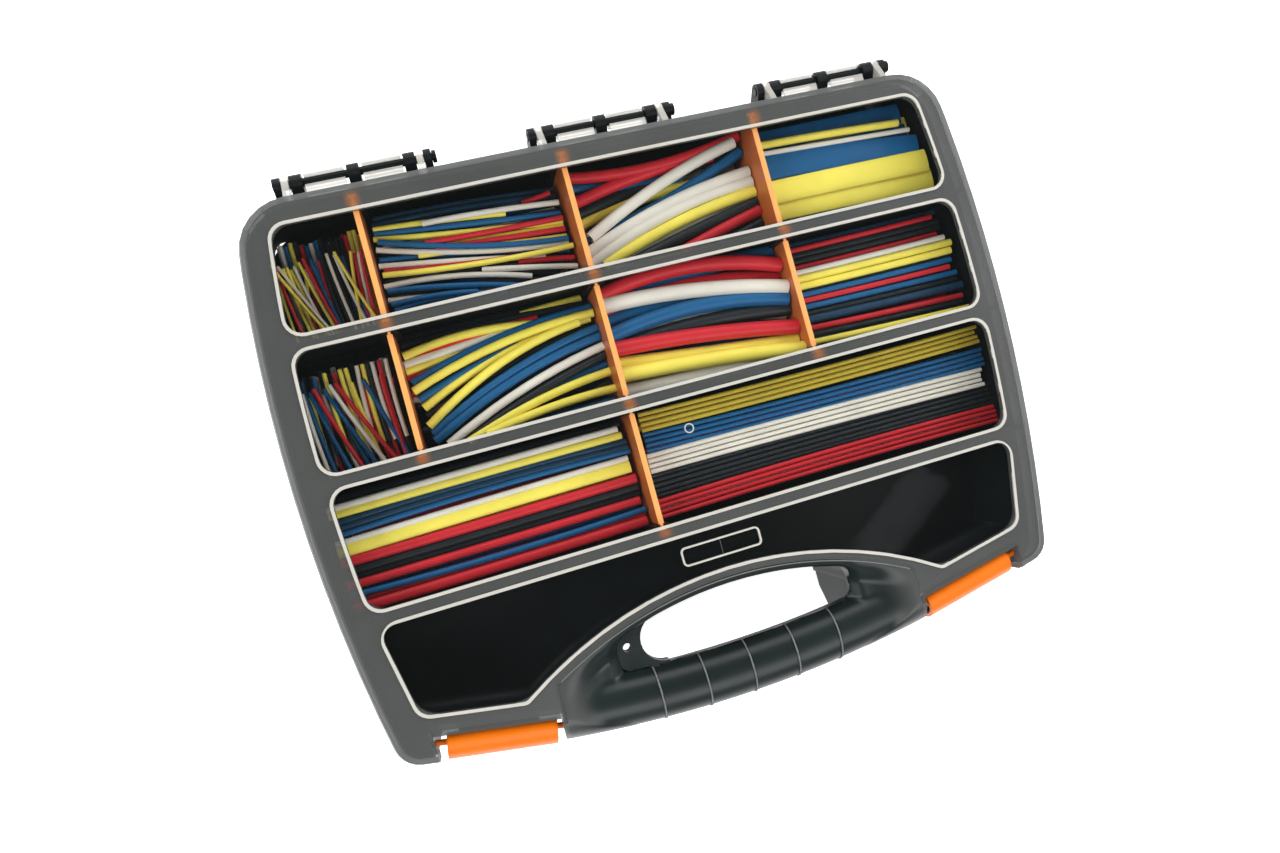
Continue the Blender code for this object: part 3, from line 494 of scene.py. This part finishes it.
row1_c = strands(
    42, 6.4,
    [
        ("R", -24.5, 132.5, 129.0, 77, 136.4, 0.3), ("B", -24, 128, 124.0, 40, 122, 1.2),
        ("R", -24.5, 118, 126.0, 60, 128.5, 0.5), ("K", -24.5, 113, 121.5, 72, 131, 1.3),
        ("Y", -24, 107, 116.0, 77, 114, 1.5), ("W", -20, 97.6, 118.5, 73, 132.5, 0),
        ("K", -24, 103, 108, 60, 112, 2.0), ("B", -24, 97, 109.0, 77.2, 128, 0.75),
        ("W", -24.5, 89.5, 106.5, 77.6, 115, 0.1), ("W", -24.5, 83, 101.5, 77.8, 109, 0.1),
        ("Y", -16, 81.5, 96.0, 78, 103.5, 0.15), ("W", -10, 80, 92, 78, 100, 1.2),
        ("K", 0, 80, 89.6, 77.8, 97.2, 0.3), ("R", 28, 79.4, 86.4, 78, 92.4, 0.2),
        ("K", 50, 79, 82.2, 78, 85.8, 0.5), ("Y", -24, 78.8, 78.6, 77, 79.0, 1.4),
        ("B", -24, 88, 90, 40, 88, 2.0),
    ],
)
row1_c += bed("tubing_row1_c", 7.2, "KBRW", 0, 2.2, 13)
pile("hoses_1_c", "tubing_row1_c", row1_c)


def band(letter, x0, y0, ym, x1, y1, z, width, flat):
    """A wide hose pressed flat; flat is its thickness by its width."""
    return tube(letter, (x0, y0, z), ((x0 + x1) / 2, ym, z), (x1, y1, z), width, flat)


row1_d = [
    band("Y", 82.6, 127.4, 126.0, 173.5, 123.8, 39.5, 4.4, 1.0),
    band("W", 82.8, 122.4, 120.4, 179, 118.4, 40.4, 2.8, 0.8),
    band("B", 82.4, 114.6, 112.0, 182, 107.8, 39.8, 14.6, 0.16),
    band("Y", 82.6, 99.4, 99.2, 184, 98.6, 41.6, 13.0, 0.17),
    band("Y", 82.3, 90.4, 89.8, 185.6, 88.4, 39.2, 13.5, 0.17),
    band("N", 82.3, 84.8, 83.8, 183, 82.8, 36.6, 12.5, 0.17),
    band("B", 82.4, 131, 131, 180, 131, 33.0, 12.0, 0.20),
    band("B", 82.4, 117, 117, 180, 117, 35.0, 14.0, 0.18),
    band("Y", 82.4, 103, 103, 180, 103, 36.4, 14.0, 0.18),
]
for i, (letter, y) in enumerate(zip("YBYWBKYB" * 3, [122, 108, 94] * 8)):
    row1_d.append(band(letter, 82.6, y, y, 183 - i % 3, y, 32.5 - 1.35 * i * 0.95, 13.4, 0.085))
pile("hoses_1_d", "tubing_row1_d", row1_d)


# Row 2: short ends in a fan, then bows of middling hose, the thickest cuts, and slim flat ones.
row2_a = fan(
    32, 2.3, 55.0, 8.6,
    [
        ("W", -185, -182, 1), ("B", -183.5, -179, 2), ("Y", -182, -180, 3), ("B", -181, -171, 1),
        ("K", -179.5, -174, 3), ("R", -178.6, -164.5, 0), ("R", -176, -176, 3),
        ("B", -174, -157.5, 1),
        ("W", -176, -168, 3), ("W", -170.6, -152.8, 0), ("B", -171.5, -162, 2),
        ("R", -167.4, -147, 0),
        ("K", -165, -155, 3), ("W", -163.8, -159, 2), ("Y", -160, -154.5, 1), ("K", -158, -147, 2),
        ("R", -155.4, -151, 2), ("B", -153.8, -140.5, 1), ("K", -151.5, -144, 3),
        ("R", -148, -146.5, 2),
        ("B", -150, -142, 4), ("R", -144.8, -142.4, 1), ("K", -142.5, -139.4, 2),
        ("R", -140.2, -141, 3),
    ],
)
row2_a += fan(
    29, 2.3, 62.0, 20.0,
    [
        ("Y", -172, -170, 0), ("N", -184, -182, 1), ("R", -168, -160, 1), ("Y", -164, -162, 0),
        ("Y", -161, -158, 0), ("W", -155.4, -156, 0), ("Y", -152.4, -152, 0), ("K", -150, -149, 0),
        ("W", -147.4, -146, 0), ("R", -144, -143, 0), ("W", -140.4, -140, 0), ("B", -178, -176, 1),
    ],
)
row2_a += bed("tubing_row2_a", 3.0, "KBRWKN", 1, 3.6, 21)
pile("hoses_2_a", "tubing_row2_a", row2_a)

row2_b = strands(
    41, 4.6,
    [
        ("Y", -131, 60, 63.6, -50, 58, 1.0), ("R", -130, 56, 61.6, -58, 63.2, 1.5),
        ("W", -131.6, 55.6, 58.4, -60, 60, 1.3), ("Y", -131.6, 52, 53.6, -75, 52, 1.3),
        ("R", -131.6, 48.6, 49.8, -90, 50, 1.5), ("B", -130, 45, 57.6, -29, 62, 0.7),
        ("Y", -130.4, 40.6, 54.2, -29, 58.4, 0.1), ("B", -128.8, 36.2, 49.6, -34, 56.4, 1.0),
        ("Y", -127.6, 31.2, 49.2, -31, 56.6, 0.9), ("K", -127, 26.6, 42.5, -31, 52, 1.4),
        ("Y", -127.4, 21.2, 44.4, -38, 55.2, 0), ("B", -126.6, 17.2, 38.6, -28.6, 50.2, 0.4),
        ("B", -126.2, 13, 34.2, -28.6, 45.4, 0.1), ("W", -120, 9.6, 28.4, -28.4, 39.8, 0.1),
        ("K", -112, 8.6, 24.0, -28.6, 34.8, 0.4), ("B", -100, 12, 23.8, -28.6, 30.2, 1.2),
        ("Y", -110, 8.4, 20.0, -28.4, 25.6, 0.2), ("Y", -100, 9.6, 14.8, -28.2, 16.0, 0),
        ("K", -80, 8.6, 13.6, -28.6, 20.6, 1.2), ("N", -70, 8.8, 9.4, -29, 10.6, 0.6),
        ("Y", -66, 67.8, 68.6, -32, 69.2, 2.4), ("K", -131, 66, 67, -31, 65.4, 2.2),
        ("K", -131, 70, 70.4, -31, 69, 3.2), ("N", -131, 43, 45, -31, 43, 2.2),
        ("K", -131, 34, 35, -31, 36, 2.4), ("K", -131, 20, 24, -31, 27, 2.2),
        ("R", -131.4, 41, 38, -122, 30, 2.0), ("W", -131.4, 38, 34, -122, 24, 2.4),
    ],
)
row2_b += bed("tubing_row2_b", 5.0, "KBNKR", 0, 3.0, 22)
pile("hoses_2_b", "tubing_row2_b", row2_b)

row2_c = strands(
    50, 8.4,
    [
        ("B", -24.6, 66, 67.8, 77.6, 67.8, 0.9), ("R", -24.6, 65.2, 69.4, 78.4, 58.6, 0.1),
        ("R", -24.4, 56, 60.6, 77.8, 52.6, 1.0), ("W", -24.4, 59.2, 56.0, 78.4, 45.8, 0),
        ("B", -24.2, 51.6, 52.0, 77, 40, 0.9), ("B", -24.4, 43, 47.4, 77.6, 39.8, 0.2),
        ("W", -24, 40, 42.8, 77, 33, 1.2), ("K", -24.2, 36, 38.6, 77.8, 34.6, 0.6),
        ("R", -24.6, 35.6, 31.4, 78.4, 23.2, 0.1), ("Y", -24.2, 27.8, 21.6, 78.2, 16.4, 0.7),
        ("Y", -24.6, 21.2, 17.6, 78.4, 10.6, 0), ("W", -24, 12.6, 10.8, 70, 10.6, 0.7),
    ],
)
row2_c += bed("tubing_row2_c", 8.4, "KBRW", 0, 2.0, 23)
pile("hoses_2_c", "tubing_row2_c", row2_c)

row2_d = []
slim = [
    ("N", 70.2, 70.2, 187, 3.2, 3), ("R", 66.6, 67.2, 182, 3.0, 2),
    ("K", 63.4, 63.6, 186, 4.6, 2.4),
    ("K", 60, 60, 185, 4.0, 2), ("R", 56, 56.2, 181, 3.0, 1.4), ("W", 52.6, 52.8, 183, 3.6, 0.4),
    ("Y", 48.9, 48.9, 185.6, 4.0, 0), ("Y", 44.9, 44.6, 184.8, 4.2, 0.3),
    ("K", 42.6, 42.2, 184, 2.4, 1),
    ("B", 39.9, 39.4, 184, 3.4, 0.6), ("R", 36.6, 35.4, 181, 3.0, 0.2),
    ("B", 33.2, 31.4, 185, 3.4, 0.5),
    ("K", 29.6, 28, 185, 3.4, 1), ("N", 26.0, 23.4, 186.4, 4.6, 0.4),
    ("R", 21.2, 17.4, 185, 3.2, 0.6),
    ("K", 17.4, 14.2, 185, 3.4, 1.0), ("Y", 13.0, 9.6, 186, 3.4, 0), ("K", 9.6, 8.4, 150, 2.6, 1.2),
]
for letter, y0, y1, x1, width, layer in slim:
    z = 42.0 - 1.6 - layer * 3.4
    row2_d.append(band(letter, 82.4, y0, (y0 + y1) / 2 - 0.3, x1, y1, z, width, 0.72))
row2_d += bed("tubing_row2_d", 4.6, "KBNRK", 0, 2.8, 24)
pile("hoses_2_d", "tubing_row2_d", row2_d)


# Row 3: the long cuts, laid side by side from the back wall to the front one.
row3_a = []
lengths = [
    ("W", -6.8, -5.2, -33, 3.6, 1.0, 0.2), ("Y", -10.3, -9.2, -31.6, 3.9, 0.8, 0.4),
    ("N", -14.6, -13.0, -29.8, 3.8, 0.9, 0.8), ("N", -17.6, -16.0, -29.8, 3.6, 0.9, 0.5),
    ("B", -20.9, -18.4, -29.6, 3.0, 1.0, 0.2), ("W", -24.6, -21.9, -31.8, 3.2, 1.0, 0),
    ("Y", -28.8, -26.6, -31.6, 6.4, 0.55, 0), ("R", -34.6, -33.4, -30.0, 5.4, 0.7, 0.2),
    ("K", -39.4, -38.2, -30, 5.0, 0.8, 0.8), ("K", -42.8, -42.0, -30, 4.4, 0.9, 1.4),
    ("R", -46.6, -45.4, -31.2, 4.6, 0.85, 0.1), ("B", -51.4, -50.8, -29.6, 3.4, 1.0, 0.2),
    ("R", -54.4, -53.6, -30, 3.2, 1.0, 1.2), ("R", -58.6, -57.0, -30.2, 5.6, 0.7, 0.1),
    ("K", -3.2, -2.4, -30, 4.2, 0.9, 2.2),
]
for letter, y0, y1, x1, width, flat, layer in lengths:
    z = 40.0 - width * flat / 2 - layer * 3.4
    bow = 1.6 if letter in "NB" else 0.2
    ym = (y0 + y1) / 2 + bow * (1 if y0 > -30 else -1)
    row3_a.append(band(letter, -186.6, y0, ym, x1, y1, z, width, flat))
row3_a += bed("tubing_row3_a", 5.0, "KNRYB", 0, 2.4, 31)
pile("hoses_3_a", "tubing_row3_a", row3_a)

row3_b = []
sheaf = "GGGG" + "BBBB" + "WWWW" + "KKKKK" + "RRRR"
pitch_left = 61.0 / len(sheaf)
for i, letter in enumerate(sheaf):
    y0 = -1.2 - i * pitch_left * (0.98 if i < 12 else 0.97)
    y1 = y0 - (1.2 if i < 4 else 3.4 if i < 12 else 1.6 if i < 17 else 0.9)
    sag = -0.9 if i < 8 else 0.6 if i < 16 else 1.2
    x1 = {"W": 183.6, "R": 186.4}.get(letter, 187.6) - (i * 7 % 4) * 0.5
    x0 = -20.4 - {"W": 1.2, "K": 2.0, "R": 2.8}.get(letter, 0)
    z = 38.6 - (0.9 if i % 3 == 1 else 0) - (1.5 if letter == "K" else 0)
    middle = ((x0 + x1) / 2, (y0 + y1) / 2 + sag, z)
    row3_b.append(tube(letter, (x0, y0, z), middle, (x1, y1, z), 2.5))
row3_b += bed("tubing_row3_b", 4.0, "KBYRW", 0, 1.6, 32)
pile("hoses_3_b", "tubing_row3_b", row3_b)


# ---------------------------------------------------------------- lid
# One moulding in smoky plastic: a frosted frame with a polished pane over each row, a fine
# raised bead round each pane, the upper half of the grip, and lugs and clips at the hinges.
SMOKE = (0.090, 0.094, 0.090)
BEAD_COLOUR = (0.62, 0.60, 0.54)
LID_TOP = 0.060
PANE_SINK = 0.0004
PANE_THICK = 0.0016
BEAD_INSET = 0.0008
HALF_WIDTH = 0.197
SIDE_RADIUS = 0.850
BULGE_Y = 0.030
WINDOW_SETBACK = 0.016
WINDOW_ROUND = 0.0085
ROW_WINDOWS = ((0.1323, 0.0774), (0.0706, 0.0084), (0.0016, -0.0606))
FRONT_WINDOW_BACK = -0.0674
ARCH_RADIUS = 0.213
ARCH_TOP = -0.090
SLANT = math.tan(math.radians(10.4))
SLANT_AT = (0.157, -0.1268)
SLANT_LIFT = 0.0100


def side_x(y):
    return HALF_WIDTH - SIDE_RADIUS + math.sqrt(SIDE_RADIUS**2 - (y - BULGE_Y) ** 2)


def mirrored(right):
    """A closed ring of (x, y, round) corners from its right half, front to back."""
    return right + [(-x, y, r) for x, y, r in reversed(right) if x > 1e-6]


def row_corners(back, front, setback, radius):
    right = [(side_x(front) - setback, front, radius)]
    for i in (1, 2, 3):
        y = front + (back - front) * i / 4
        right.append((side_x(y) - setback, y, 0))
    return mirrored([*right, (side_x(back) - setback, back, radius)])


def front_corners(back, setback, inset, radius):
    """The front window: it arches over the handle and ends in slants along the latches."""
    top = ARCH_TOP + inset
    reach = ARCH_RADIUS + inset
    corner_x = side_x(SLANT_AT[1]) - setback
    lift = SLANT_LIFT / math.cos(math.atan(SLANT))
    corner_y = SLANT_AT[1] + (corner_x - SLANT_AT[0]) * SLANT + lift + inset
    foot_x = 0.11
    for _ in range(12):
        foot_y = corner_y - (corner_x - foot_x) * SLANT
        foot_x = math.sqrt(reach**2 - (foot_y - top + reach) ** 2)
    stations = [foot_x * i / 10 for i in range(10)]
    arch = [(x, top - reach + math.sqrt(reach**2 - x**2), 0) for x in stations]
    right = [*arch, (foot_x, foot_y, radius * 0.6), (corner_x, corner_y, radius)]
    return mirrored([*right, (side_x(back) - setback, back, radius)])


def slab(name, corners, low, high):
    """A flat plate with rounded corners, from (x, y, round) corners in order."""
    bpy.ops.object.select_all(action="DESELECT")
    bpy.ops.mesh.primitive_circle_add(vertices=len(corners), fill_type="NGON")
    piece = bpy.context.object
    piece.name = name
    for vertex, (x, y, _) in zip(piece.data.vertices, corners):
        vertex.co = (x, y, low)
    for radius in sorted({r for _, _, r in corners if r}):
        spots = [(x, y) for x, y, r in corners if r == radius]
        for vertex in piece.data.vertices:
            vertex.select = any(math.dist(vertex.co[:2], spot) < 1e-5 for spot in spots)
        for edge in piece.data.edges:
            edge.select = False
        for face in piece.data.polygons:
            face.select = False
        bpy.ops.object.mode_set(mode="EDIT")
        bpy.ops.mesh.select_mode(type="VERT")
        bpy.ops.mesh.bevel(offset=radius, segments=7, affect="VERTICES")
        bpy.ops.object.mode_set(mode="OBJECT")
    bpy.ops.object.mode_set(mode="EDIT")
    bpy.ops.mesh.select_all(action="SELECT")
    bpy.ops.mesh.extrude_region_move(TRANSFORM_OT_translate={"value": (0, 0, high - low)})
    bpy.ops.mesh.select_all(action="SELECT")
    bpy.ops.mesh.normals_make_consistent(inside=False)
    bpy.ops.object.mode_set(mode="OBJECT")
    return piece


def carve(piece, cutter):
    step = piece.modifiers.new("carve", "BOOLEAN")
    step.operation = "DIFFERENCE"
    step.object = cutter
    step.solver = "EXACT"
    only(piece)
    bpy.ops.object.modifier_apply(modifier=step.name)
    bpy.data.objects.remove(cutter, do_unlink=True)


def pane_corners(inset):
    setback = WINDOW_SETBACK + inset
    rings = [
        row_corners(back - inset, front + inset, setback, WINDOW_ROUND)
        for back, front in ROW_WINDOWS
    ]
    rings.append(front_corners(FRONT_WINDOW_BACK - inset, setback, inset, WINDOW_ROUND))
    return rings


frost = Finish("frosted_smoke", SMOKE, 0.42, 0.35)
DIVIDER_GLOW = (0.42, 0.15, 0.05)
GLOW_LINES = ((-0.1335, 0.004), (0.0801, 0.004), (-0.0267, -0.064))
GLOW_FADE = (0.0050, 0.0004)
GLOW_BACK = (0.1425, 0.1375)


def divider_glow(finish, x, low_y):
    """1 over a divider, fading to each side: where the frosted plastic gets a painted glow from its
    light.
    """
    spot = finish.place()
    beside = finish.node("ShaderNodeSeparateXYZ", {"out": "X"}, Vector=spot) - x
    beside = beside.maths("ABSOLUTE", beside)
    behind = finish.node("ShaderNodeSeparateXYZ", {"out": "Y"}, Vector=spot)
    smooth = {"interpolation_type": "SMOOTHSTEP"}
    wide, narrow = GLOW_FADE
    near = finish.node("ShaderNodeMapRange", smooth, Value=beside, s1=wide, s2=narrow)
    start = finish.node("ShaderNodeMapRange", smooth, Value=behind, s1=low_y - 0.003, s2=low_y)
    outer, inner = GLOW_BACK
    end = finish.node("ShaderNodeMapRange", smooth, Value=behind, s1=outer, s2=inner)
    return near * start * end


glow = divider_glow(frost, *GLOW_LINES[0])
for line in GLOW_LINES[1:]:
    glow = glow + divider_glow(frost, *line)
smoke_cloud = frost.blend(frost.noise(24.0, 3.0), whole(SMOKE, 0.80), whole(SMOKE, 1.20))
# Painted glow: the frame's base colour turns orange over the divider ends.
frost.set("Base Color", frost.blend(glow * 0.8, smoke_cloud, whole(DIVIDER_GLOW)))
frost.set("Roughness", frost.noise(60.0, 2.0) * 0.12 + 0.34)
frost.set("Normal", frost.relief(frost.noise(3000.0, 1.0), 0.12, 0.0001))
frost.set("Alpha", frost.noise(14.0, 3.0) * 0.16 + 0.50)

rim = Finish("frosted_rim", SMOKE, 0.40, 0.35)
rim.set("Base Color", rim.blend(rim.noise(24.0, 3.0), whole(SMOKE, 0.86), whole(SMOKE, 1.14)))
rim.set("Roughness", rim.noise(60.0, 2.0) * 0.12 + 0.34)
rim.set("Alpha", 0.86)

cream = Finish("bead_edge", BEAD_COLOUR, 0.30)
bead_cloud = cream.blend(cream.noise(80.0), whole(BEAD_COLOUR, 0.9), whole(BEAD_COLOUR, 1.05))
cream.set("Base Color", bead_cloud)
cream.set("Alpha", 0.85)

polished = Finish("polished_smoke", (0.03, 0.035, 0.035), 0.05, 0.35)
polished.set("Alpha", polished.noise(9.0, 2.0) * 0.03 + 0.045)

lug_clear = Finish("clear_lug", (0.80, 0.77, 0.70), 0.22)
lug_cloud = lug_clear.blend(lug_clear.noise(90.0), (0.70, 0.67, 0.60, 1), (0.86, 0.84, 0.78, 1))
lug_clear.set("Base Color", lug_cloud)
lug_clear.set("Alpha", 0.48)

GRIP_SMOKE = (0.010, 0.015, 0.015)
grip_gloss = Finish("grip_smoke", GRIP_SMOKE, 0.3, 0.28)
side = grip_gloss.node("ShaderNodeSeparateXYZ", {"out": "X"}, Vector=grip_gloss.place())
side = side.maths("ABSOLUTE", side)
smooth = {"interpolation_type": "SMOOTHSTEP"}
root = grip_gloss.node("ShaderNodeMapRange", smooth, Value=side, s1=0.080, s2=0.099)
gloss_dark, gloss_light = whole(GRIP_SMOKE, 0.8), whole(GRIP_SMOKE, 1.3)
gloss_cloud = grip_gloss.blend(grip_gloss.noise(40.0), gloss_dark, gloss_light)
grip_gloss.set("Base Color", grip_gloss.blend(root, gloss_cloud, whole(SMOKE, 0.6)))
grip_gloss.set("Roughness", grip_gloss.noise(50.0) * 0.12 + 0.26)

PANE_CUT = (0.008, 0.004)
FROST, CREAM, LUG, GRIP, RIM = range(5)

lid = moulded_copy("lid", "lid_frame")
for i, ring in enumerate(pane_corners(BEAD_INSET)):
    carve(lid, slab(f"pane_cutter_{i}", ring, LID_TOP - PANE_CUT[0], LID_TOP + PANE_CUT[1]))
for finish in (frost, cream, lug_clear, grip_gloss, rim):
    lid.data.materials.append(finish.made)


CREASE_REACH = 0.0985
CREASE_TOP = -0.0958
OPENING_ARC = 0.205
LUG_START_Y = 0.1470
RIM_WIDTH = 0.006
RIM_BACK_Y = 0.140
RIM_FRONT_Y = -0.12
TOP_WITHIN = 0.00005


def handle_crease(x):
    """Where the frame starts to fall away to the handle; past the roots, nowhere."""
    if abs(x) > CREASE_REACH:
        return -1
    return CREASE_TOP - OPENING_ARC + math.sqrt(OPENING_ARC**2 - x**2)


def lid_finish(face):
    """The index of the finish of this face of the lid."""
    x, y, z = face.center
    if z > LID_TOP + TOP_WITHIN:
        return CREAM
    if y > LUG_START_Y:
        return LUG
    if y < handle_crease(x):
        return GRIP
    outside = abs(x) > side_x(y) - RIM_WIDTH or y > RIM_BACK_Y or y < RIM_FRONT_Y
    if z < LID_TOP - TOP_WITHIN and outside:
        return RIM
    return FROST


for face in lid.data.polygons:
    face.material_index = lid_finish(face)
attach(lid, "lid")
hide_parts("lid")

for i, ring in enumerate(pane_corners(BEAD_INSET)):
    top = LID_TOP - PANE_SINK
    pane = slab(f"window_pane_{i + 1}", ring, top - PANE_THICK, top)
    pane.data.materials.append(polished.made)
    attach(pane, "lid")


# ---------------------------------------------------------------- lid trim
# The handle's smooth outer skin with its raised finger rings, a painted highlight line along the
# crease where the frame breaks towards it, the label frame, and the mark that the moulding gate
# leaves.
ROOT_X = 0.104
ROOT_FRONT = -0.1505
HANDLE_FRONT = -0.1588
GRIP_HALF = 0.014
SEAT = 0.0464
GRIP_RISE = 0.0116
OPENING_HALF = 0.066
OPENING_ROUND = 0.0085
RING_PITCH = 0.025
SKIN_LIFT = 0.00012
SKIN_REACH = 0.0992
OPENING_TOP = -0.098
DISH_FROM = 0.073
DISH_TO = 0.099
GAP_DEPTH = 0.0150
DISH_DEPTH = 0.0065
DISH_EDGE = 0.006
DISH_REACH = 0.013
CREASE_OUT = 0.0032
SOFTEN = 0.0020
SHELF_RISE = 0.0003
LABEL_Y = -0.0785
LABEL_SIZE = (0.0436, 0.0100)


def handle_front(x):
    rise = ROOT_FRONT - HANDLE_FRONT
    radius = (ROOT_X**2 + rise**2) / (2 * rise)
    return HANDLE_FRONT + radius - math.sqrt(radius**2 - x**2)


def opening_top(x):
    return OPENING_TOP - OPENING_ARC + math.sqrt(OPENING_ARC**2 - x**2)


def eased(value, start, end):
    share = min(1, max(0, (value - start) / (end - start)))
    return share * share * (3 - 2 * share)


def handle_top(x, y):
    """The lid's height over the handle: a round grip that flares into dished roots."""
    opened = 1 - eased(abs(x), DISH_FROM, DISH_TO)
    from_front = (y - handle_front(x)) / GRIP_HALF
    swell = math.sqrt(max(0, 1 - (from_front - 1) ** 2))
    grip = SEAT + GRIP_RISE * swell
    full = LID_TOP + SHELF_RISE - SEAT
    edge = SEAT + (full + (GRIP_RISE - full) * opened) * (swell if from_front < 1 else 1)
    past_end = eased(abs(x), OPENING_HALF - DISH_EDGE, OPENING_HALF + DISH_EDGE)
    depth = GAP_DEPTH + (DISH_DEPTH - GAP_DEPTH) * past_end
    fall = eased(opening_top(x) + CREASE_OUT - y, 0, DISH_REACH)
    shelf = LID_TOP + SHELF_RISE - depth * opened * fall
    shelf = min(shelf, edge) if from_front < 1 else shelf
    blend = max(SOFTEN - abs(grip - shelf), 0) / SOFTEN
    return max(max(grip, shelf) + blend * blend * 0.0005, SEAT + SHELF_RISE)


def opening_corners():
    """The finger opening: an arched slot with round ends."""
    flat = OPENING_HALF - 1.1 * OPENING_ROUND
    low = [(flat * i / 6, handle_front(flat * i / 6) + 2 * GRIP_HALF, 0) for i in range(7)]
    high = [(flat * i / 6, opening_top(flat * i / 6), 0) for i in range(6, -1, -1)]
    ends_y = (handle_front(OPENING_HALF) + 2 * GRIP_HALF, opening_top(OPENING_HALF))
    ends = [(OPENING_HALF, y, 0.0060) for y in ends_y]
    return mirrored([*low, *ends, *high])


def thread(name, spots, radius, finish):
    """A thin round line of plastic through these points."""
    bpy.ops.object.select_all(action="DESELECT")
    bpy.ops.curve.primitive_nurbs_path_add()
    piece = bpy.context.object
    piece.name = name
    line = piece.data
    line.splines.clear()
    spline = line.splines.new("POLY")
    spline.points.add(len(spots) - 1)
    for point, spot in zip(spline.points, spots):
        point.co = (*spot, 1)
    line.bevel_depth = radius
    line.bevel_resolution = 2
    line.use_fill_caps = True
    bpy.ops.object.convert(target="MESH")
    bpy.ops.object.shade_smooth_by_angle(angle=ROUND_UNDER)
    piece.data.materials.clear()
    piece.data.materials.append(finish.made)
    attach(piece, "lid")


across, along = 140, 44
bpy.ops.object.select_all(action="DESELECT")
bpy.ops.mesh.primitive_grid_add(x_subdivisions=across, y_subdivisions=along, size=2)
skin = bpy.context.object
skin.name = "handle_skin"
for vertex in skin.data.vertices:
    x = vertex.co.x * SKIN_REACH
    share = (vertex.co.y + 1) / 2
    front = handle_front(x) + 0.0001
    back = opening_top(x) + 0.0026
    y = front + (back - front) * share**1.25
    vertex.co = (x, y, handle_top(x, y) + SKIN_LIFT)
thick = skin.modifiers.new("thick", "SOLIDIFY")
thick.thickness = 0.0008
thick.offset = -1
only(skin)
bpy.ops.object.modifier_apply(modifier=thick.name)
carve(skin, slab("opening_cutter", opening_corners(), 0.02, 0.08))
only(skin)
bpy.ops.object.shade_smooth_by_angle(angle=math.radians(60))
skin.data.materials.clear()
skin.data.materials.append(grip_gloss.made)
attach(skin, "lid")

# The skin takes the place of the moulding's own upper faces here.
only(lid)
for vertex in lid.data.vertices:
    vertex.select = False
for line in lid.data.edges:
    line.select = False
for face in lid.data.polygons:
    x, y, z = face.center
    inside = abs(x) < CREASE_REACH and y < opening_top(x) + 0.0020
    covered = inside and face.normal.z > 0.2
    face.select = covered and abs(z - handle_top(x, y)) < 0.0013
bpy.ops.object.mode_set(mode="EDIT")
bpy.ops.mesh.select_mode(type="FACE")
bpy.ops.mesh.delete(type="ONLY_FACE")
bpy.ops.object.mode_set(mode="OBJECT")

# Pale grey for the finger rings and the label rib; laid along the handle's crease it is a painted
# highlight.
CREASE_COLOUR = (0.20, 0.21, 0.20)
crease = Finish("pale_ribs_and_crease_highlight", CREASE_COLOUR, 0.4)
crease_dark, crease_light = whole(CREASE_COLOUR, 0.8), whole(CREASE_COLOUR, 1.2)
crease.set("Base Color", crease.blend(crease.noise(70.0), crease_dark, crease_light))
crease.set("Alpha", 0.75)
for i in range(-2, 3):
    x = i * RING_PITCH
    spots = []
    for step in range(25):
        turn = math.pi * (0.04 + 0.92 * step / 24)
        y = handle_front(x) + GRIP_HALF * (1 - math.cos(turn))
        spots.append((x, y, SEAT + GRIP_RISE * math.sin(turn) + 0.0001))
    thread(f"finger_ring_{i + 3}", spots, 0.00055, crease)

# A painted highlight: a thin pale line along the crease where the frame bends down to the handle.
reach = 0.0975
arc = [(reach * i / 40, opening_top(reach * i / 40) + 0.0029) for i in range(-40, 41)]
thread("handle_crease", [(x, y, LID_TOP - 0.0001) for x, y in arc], 0.0004, crease)


def outline(x, y, width, depth, radius):
    signs = ((-1, -1), (1, -1), (1, 1), (-1, 1))
    return [(x + i * width / 2, y + j * depth / 2, radius) for i, j in signs]


outer = outline(0, LABEL_Y, *LABEL_SIZE, 0.0026)
label = slab("label_frame", outer, LID_TOP - 0.0010, LID_TOP + 0.0004)
inner = outline(0, LABEL_Y, LABEL_SIZE[0] - 0.0018, LABEL_SIZE[1] - 0.0018, 0.0018)
carve(label, slab("label_cutter", inner, 0.05, 0.07))
label.data.materials.append(cream.made)
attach(label, "lid")
rib_ends = [
    (0, LABEL_Y - LABEL_SIZE[1] / 2 + 0.0008),
    (0, LABEL_Y + LABEL_SIZE[1] / 2 - 0.0008),
]
thread("label_rib", [(x, y, LID_TOP - 0.00035) for x, y in rib_ends], 0.00012, crease)

# The moulding gate's ring mark is real; its pale cream colour is a painted highlight.
GATE_AT = (0.0, -0.015)
bpy.ops.mesh.primitive_torus_add(
    major_radius=0.0023, minor_radius=0.00034, major_segments=32, minor_segments=8,
    location=(*GATE_AT, LID_TOP - 0.0003),
)
gate = bpy.context.object
gate.name = "gate_mark"
bpy.ops.object.transform_apply(location=True)
bpy.ops.object.shade_smooth()
gate.data.materials.append(cream.made)
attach(gate, "lid")


# ---------------------------------------------------------------- latches
# Two bright orange snap latches that swing on stub pins in the lid's pockets. They reach down
# over the tray's front, and their lower lips are darker.
LATCH_ORANGE = (0.80, 0.165, 0.003)
snap = Finish("latch_plastic", LATCH_ORANGE, 0.34, 0.2)
LIP_RED = (0.36, 0.045, 0.004)
drop = snap.node("ShaderNodeSeparateXYZ", {"out": "Z"}, Vector=snap.place())
fall = snap.node("ShaderNodeMapRange", smooth, Value=drop, s1=0.050, s2=0.036)
snap_cloud = snap.blend(snap.noise(45.0, 3.0), whole(LATCH_ORANGE, 0.90), whole(LATCH_ORANGE, 1.06))
snap.set("Base Color", snap.blend(fall, snap_cloud, whole(LIP_RED)))
snap.set("Roughness", snap.noise(70.0) * 0.14 + 0.28)
snap.set("Normal", snap.relief(snap.noise(900.0, 2.0), 0.08, 0.0002))
for side in ("left", "right"):
    latch = moulded_copy("latch_" + side, "snap_latch_" + side)
    latch.data.materials.append(snap.made)
    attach(latch, "latch_" + side)
    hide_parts("latch_" + side)
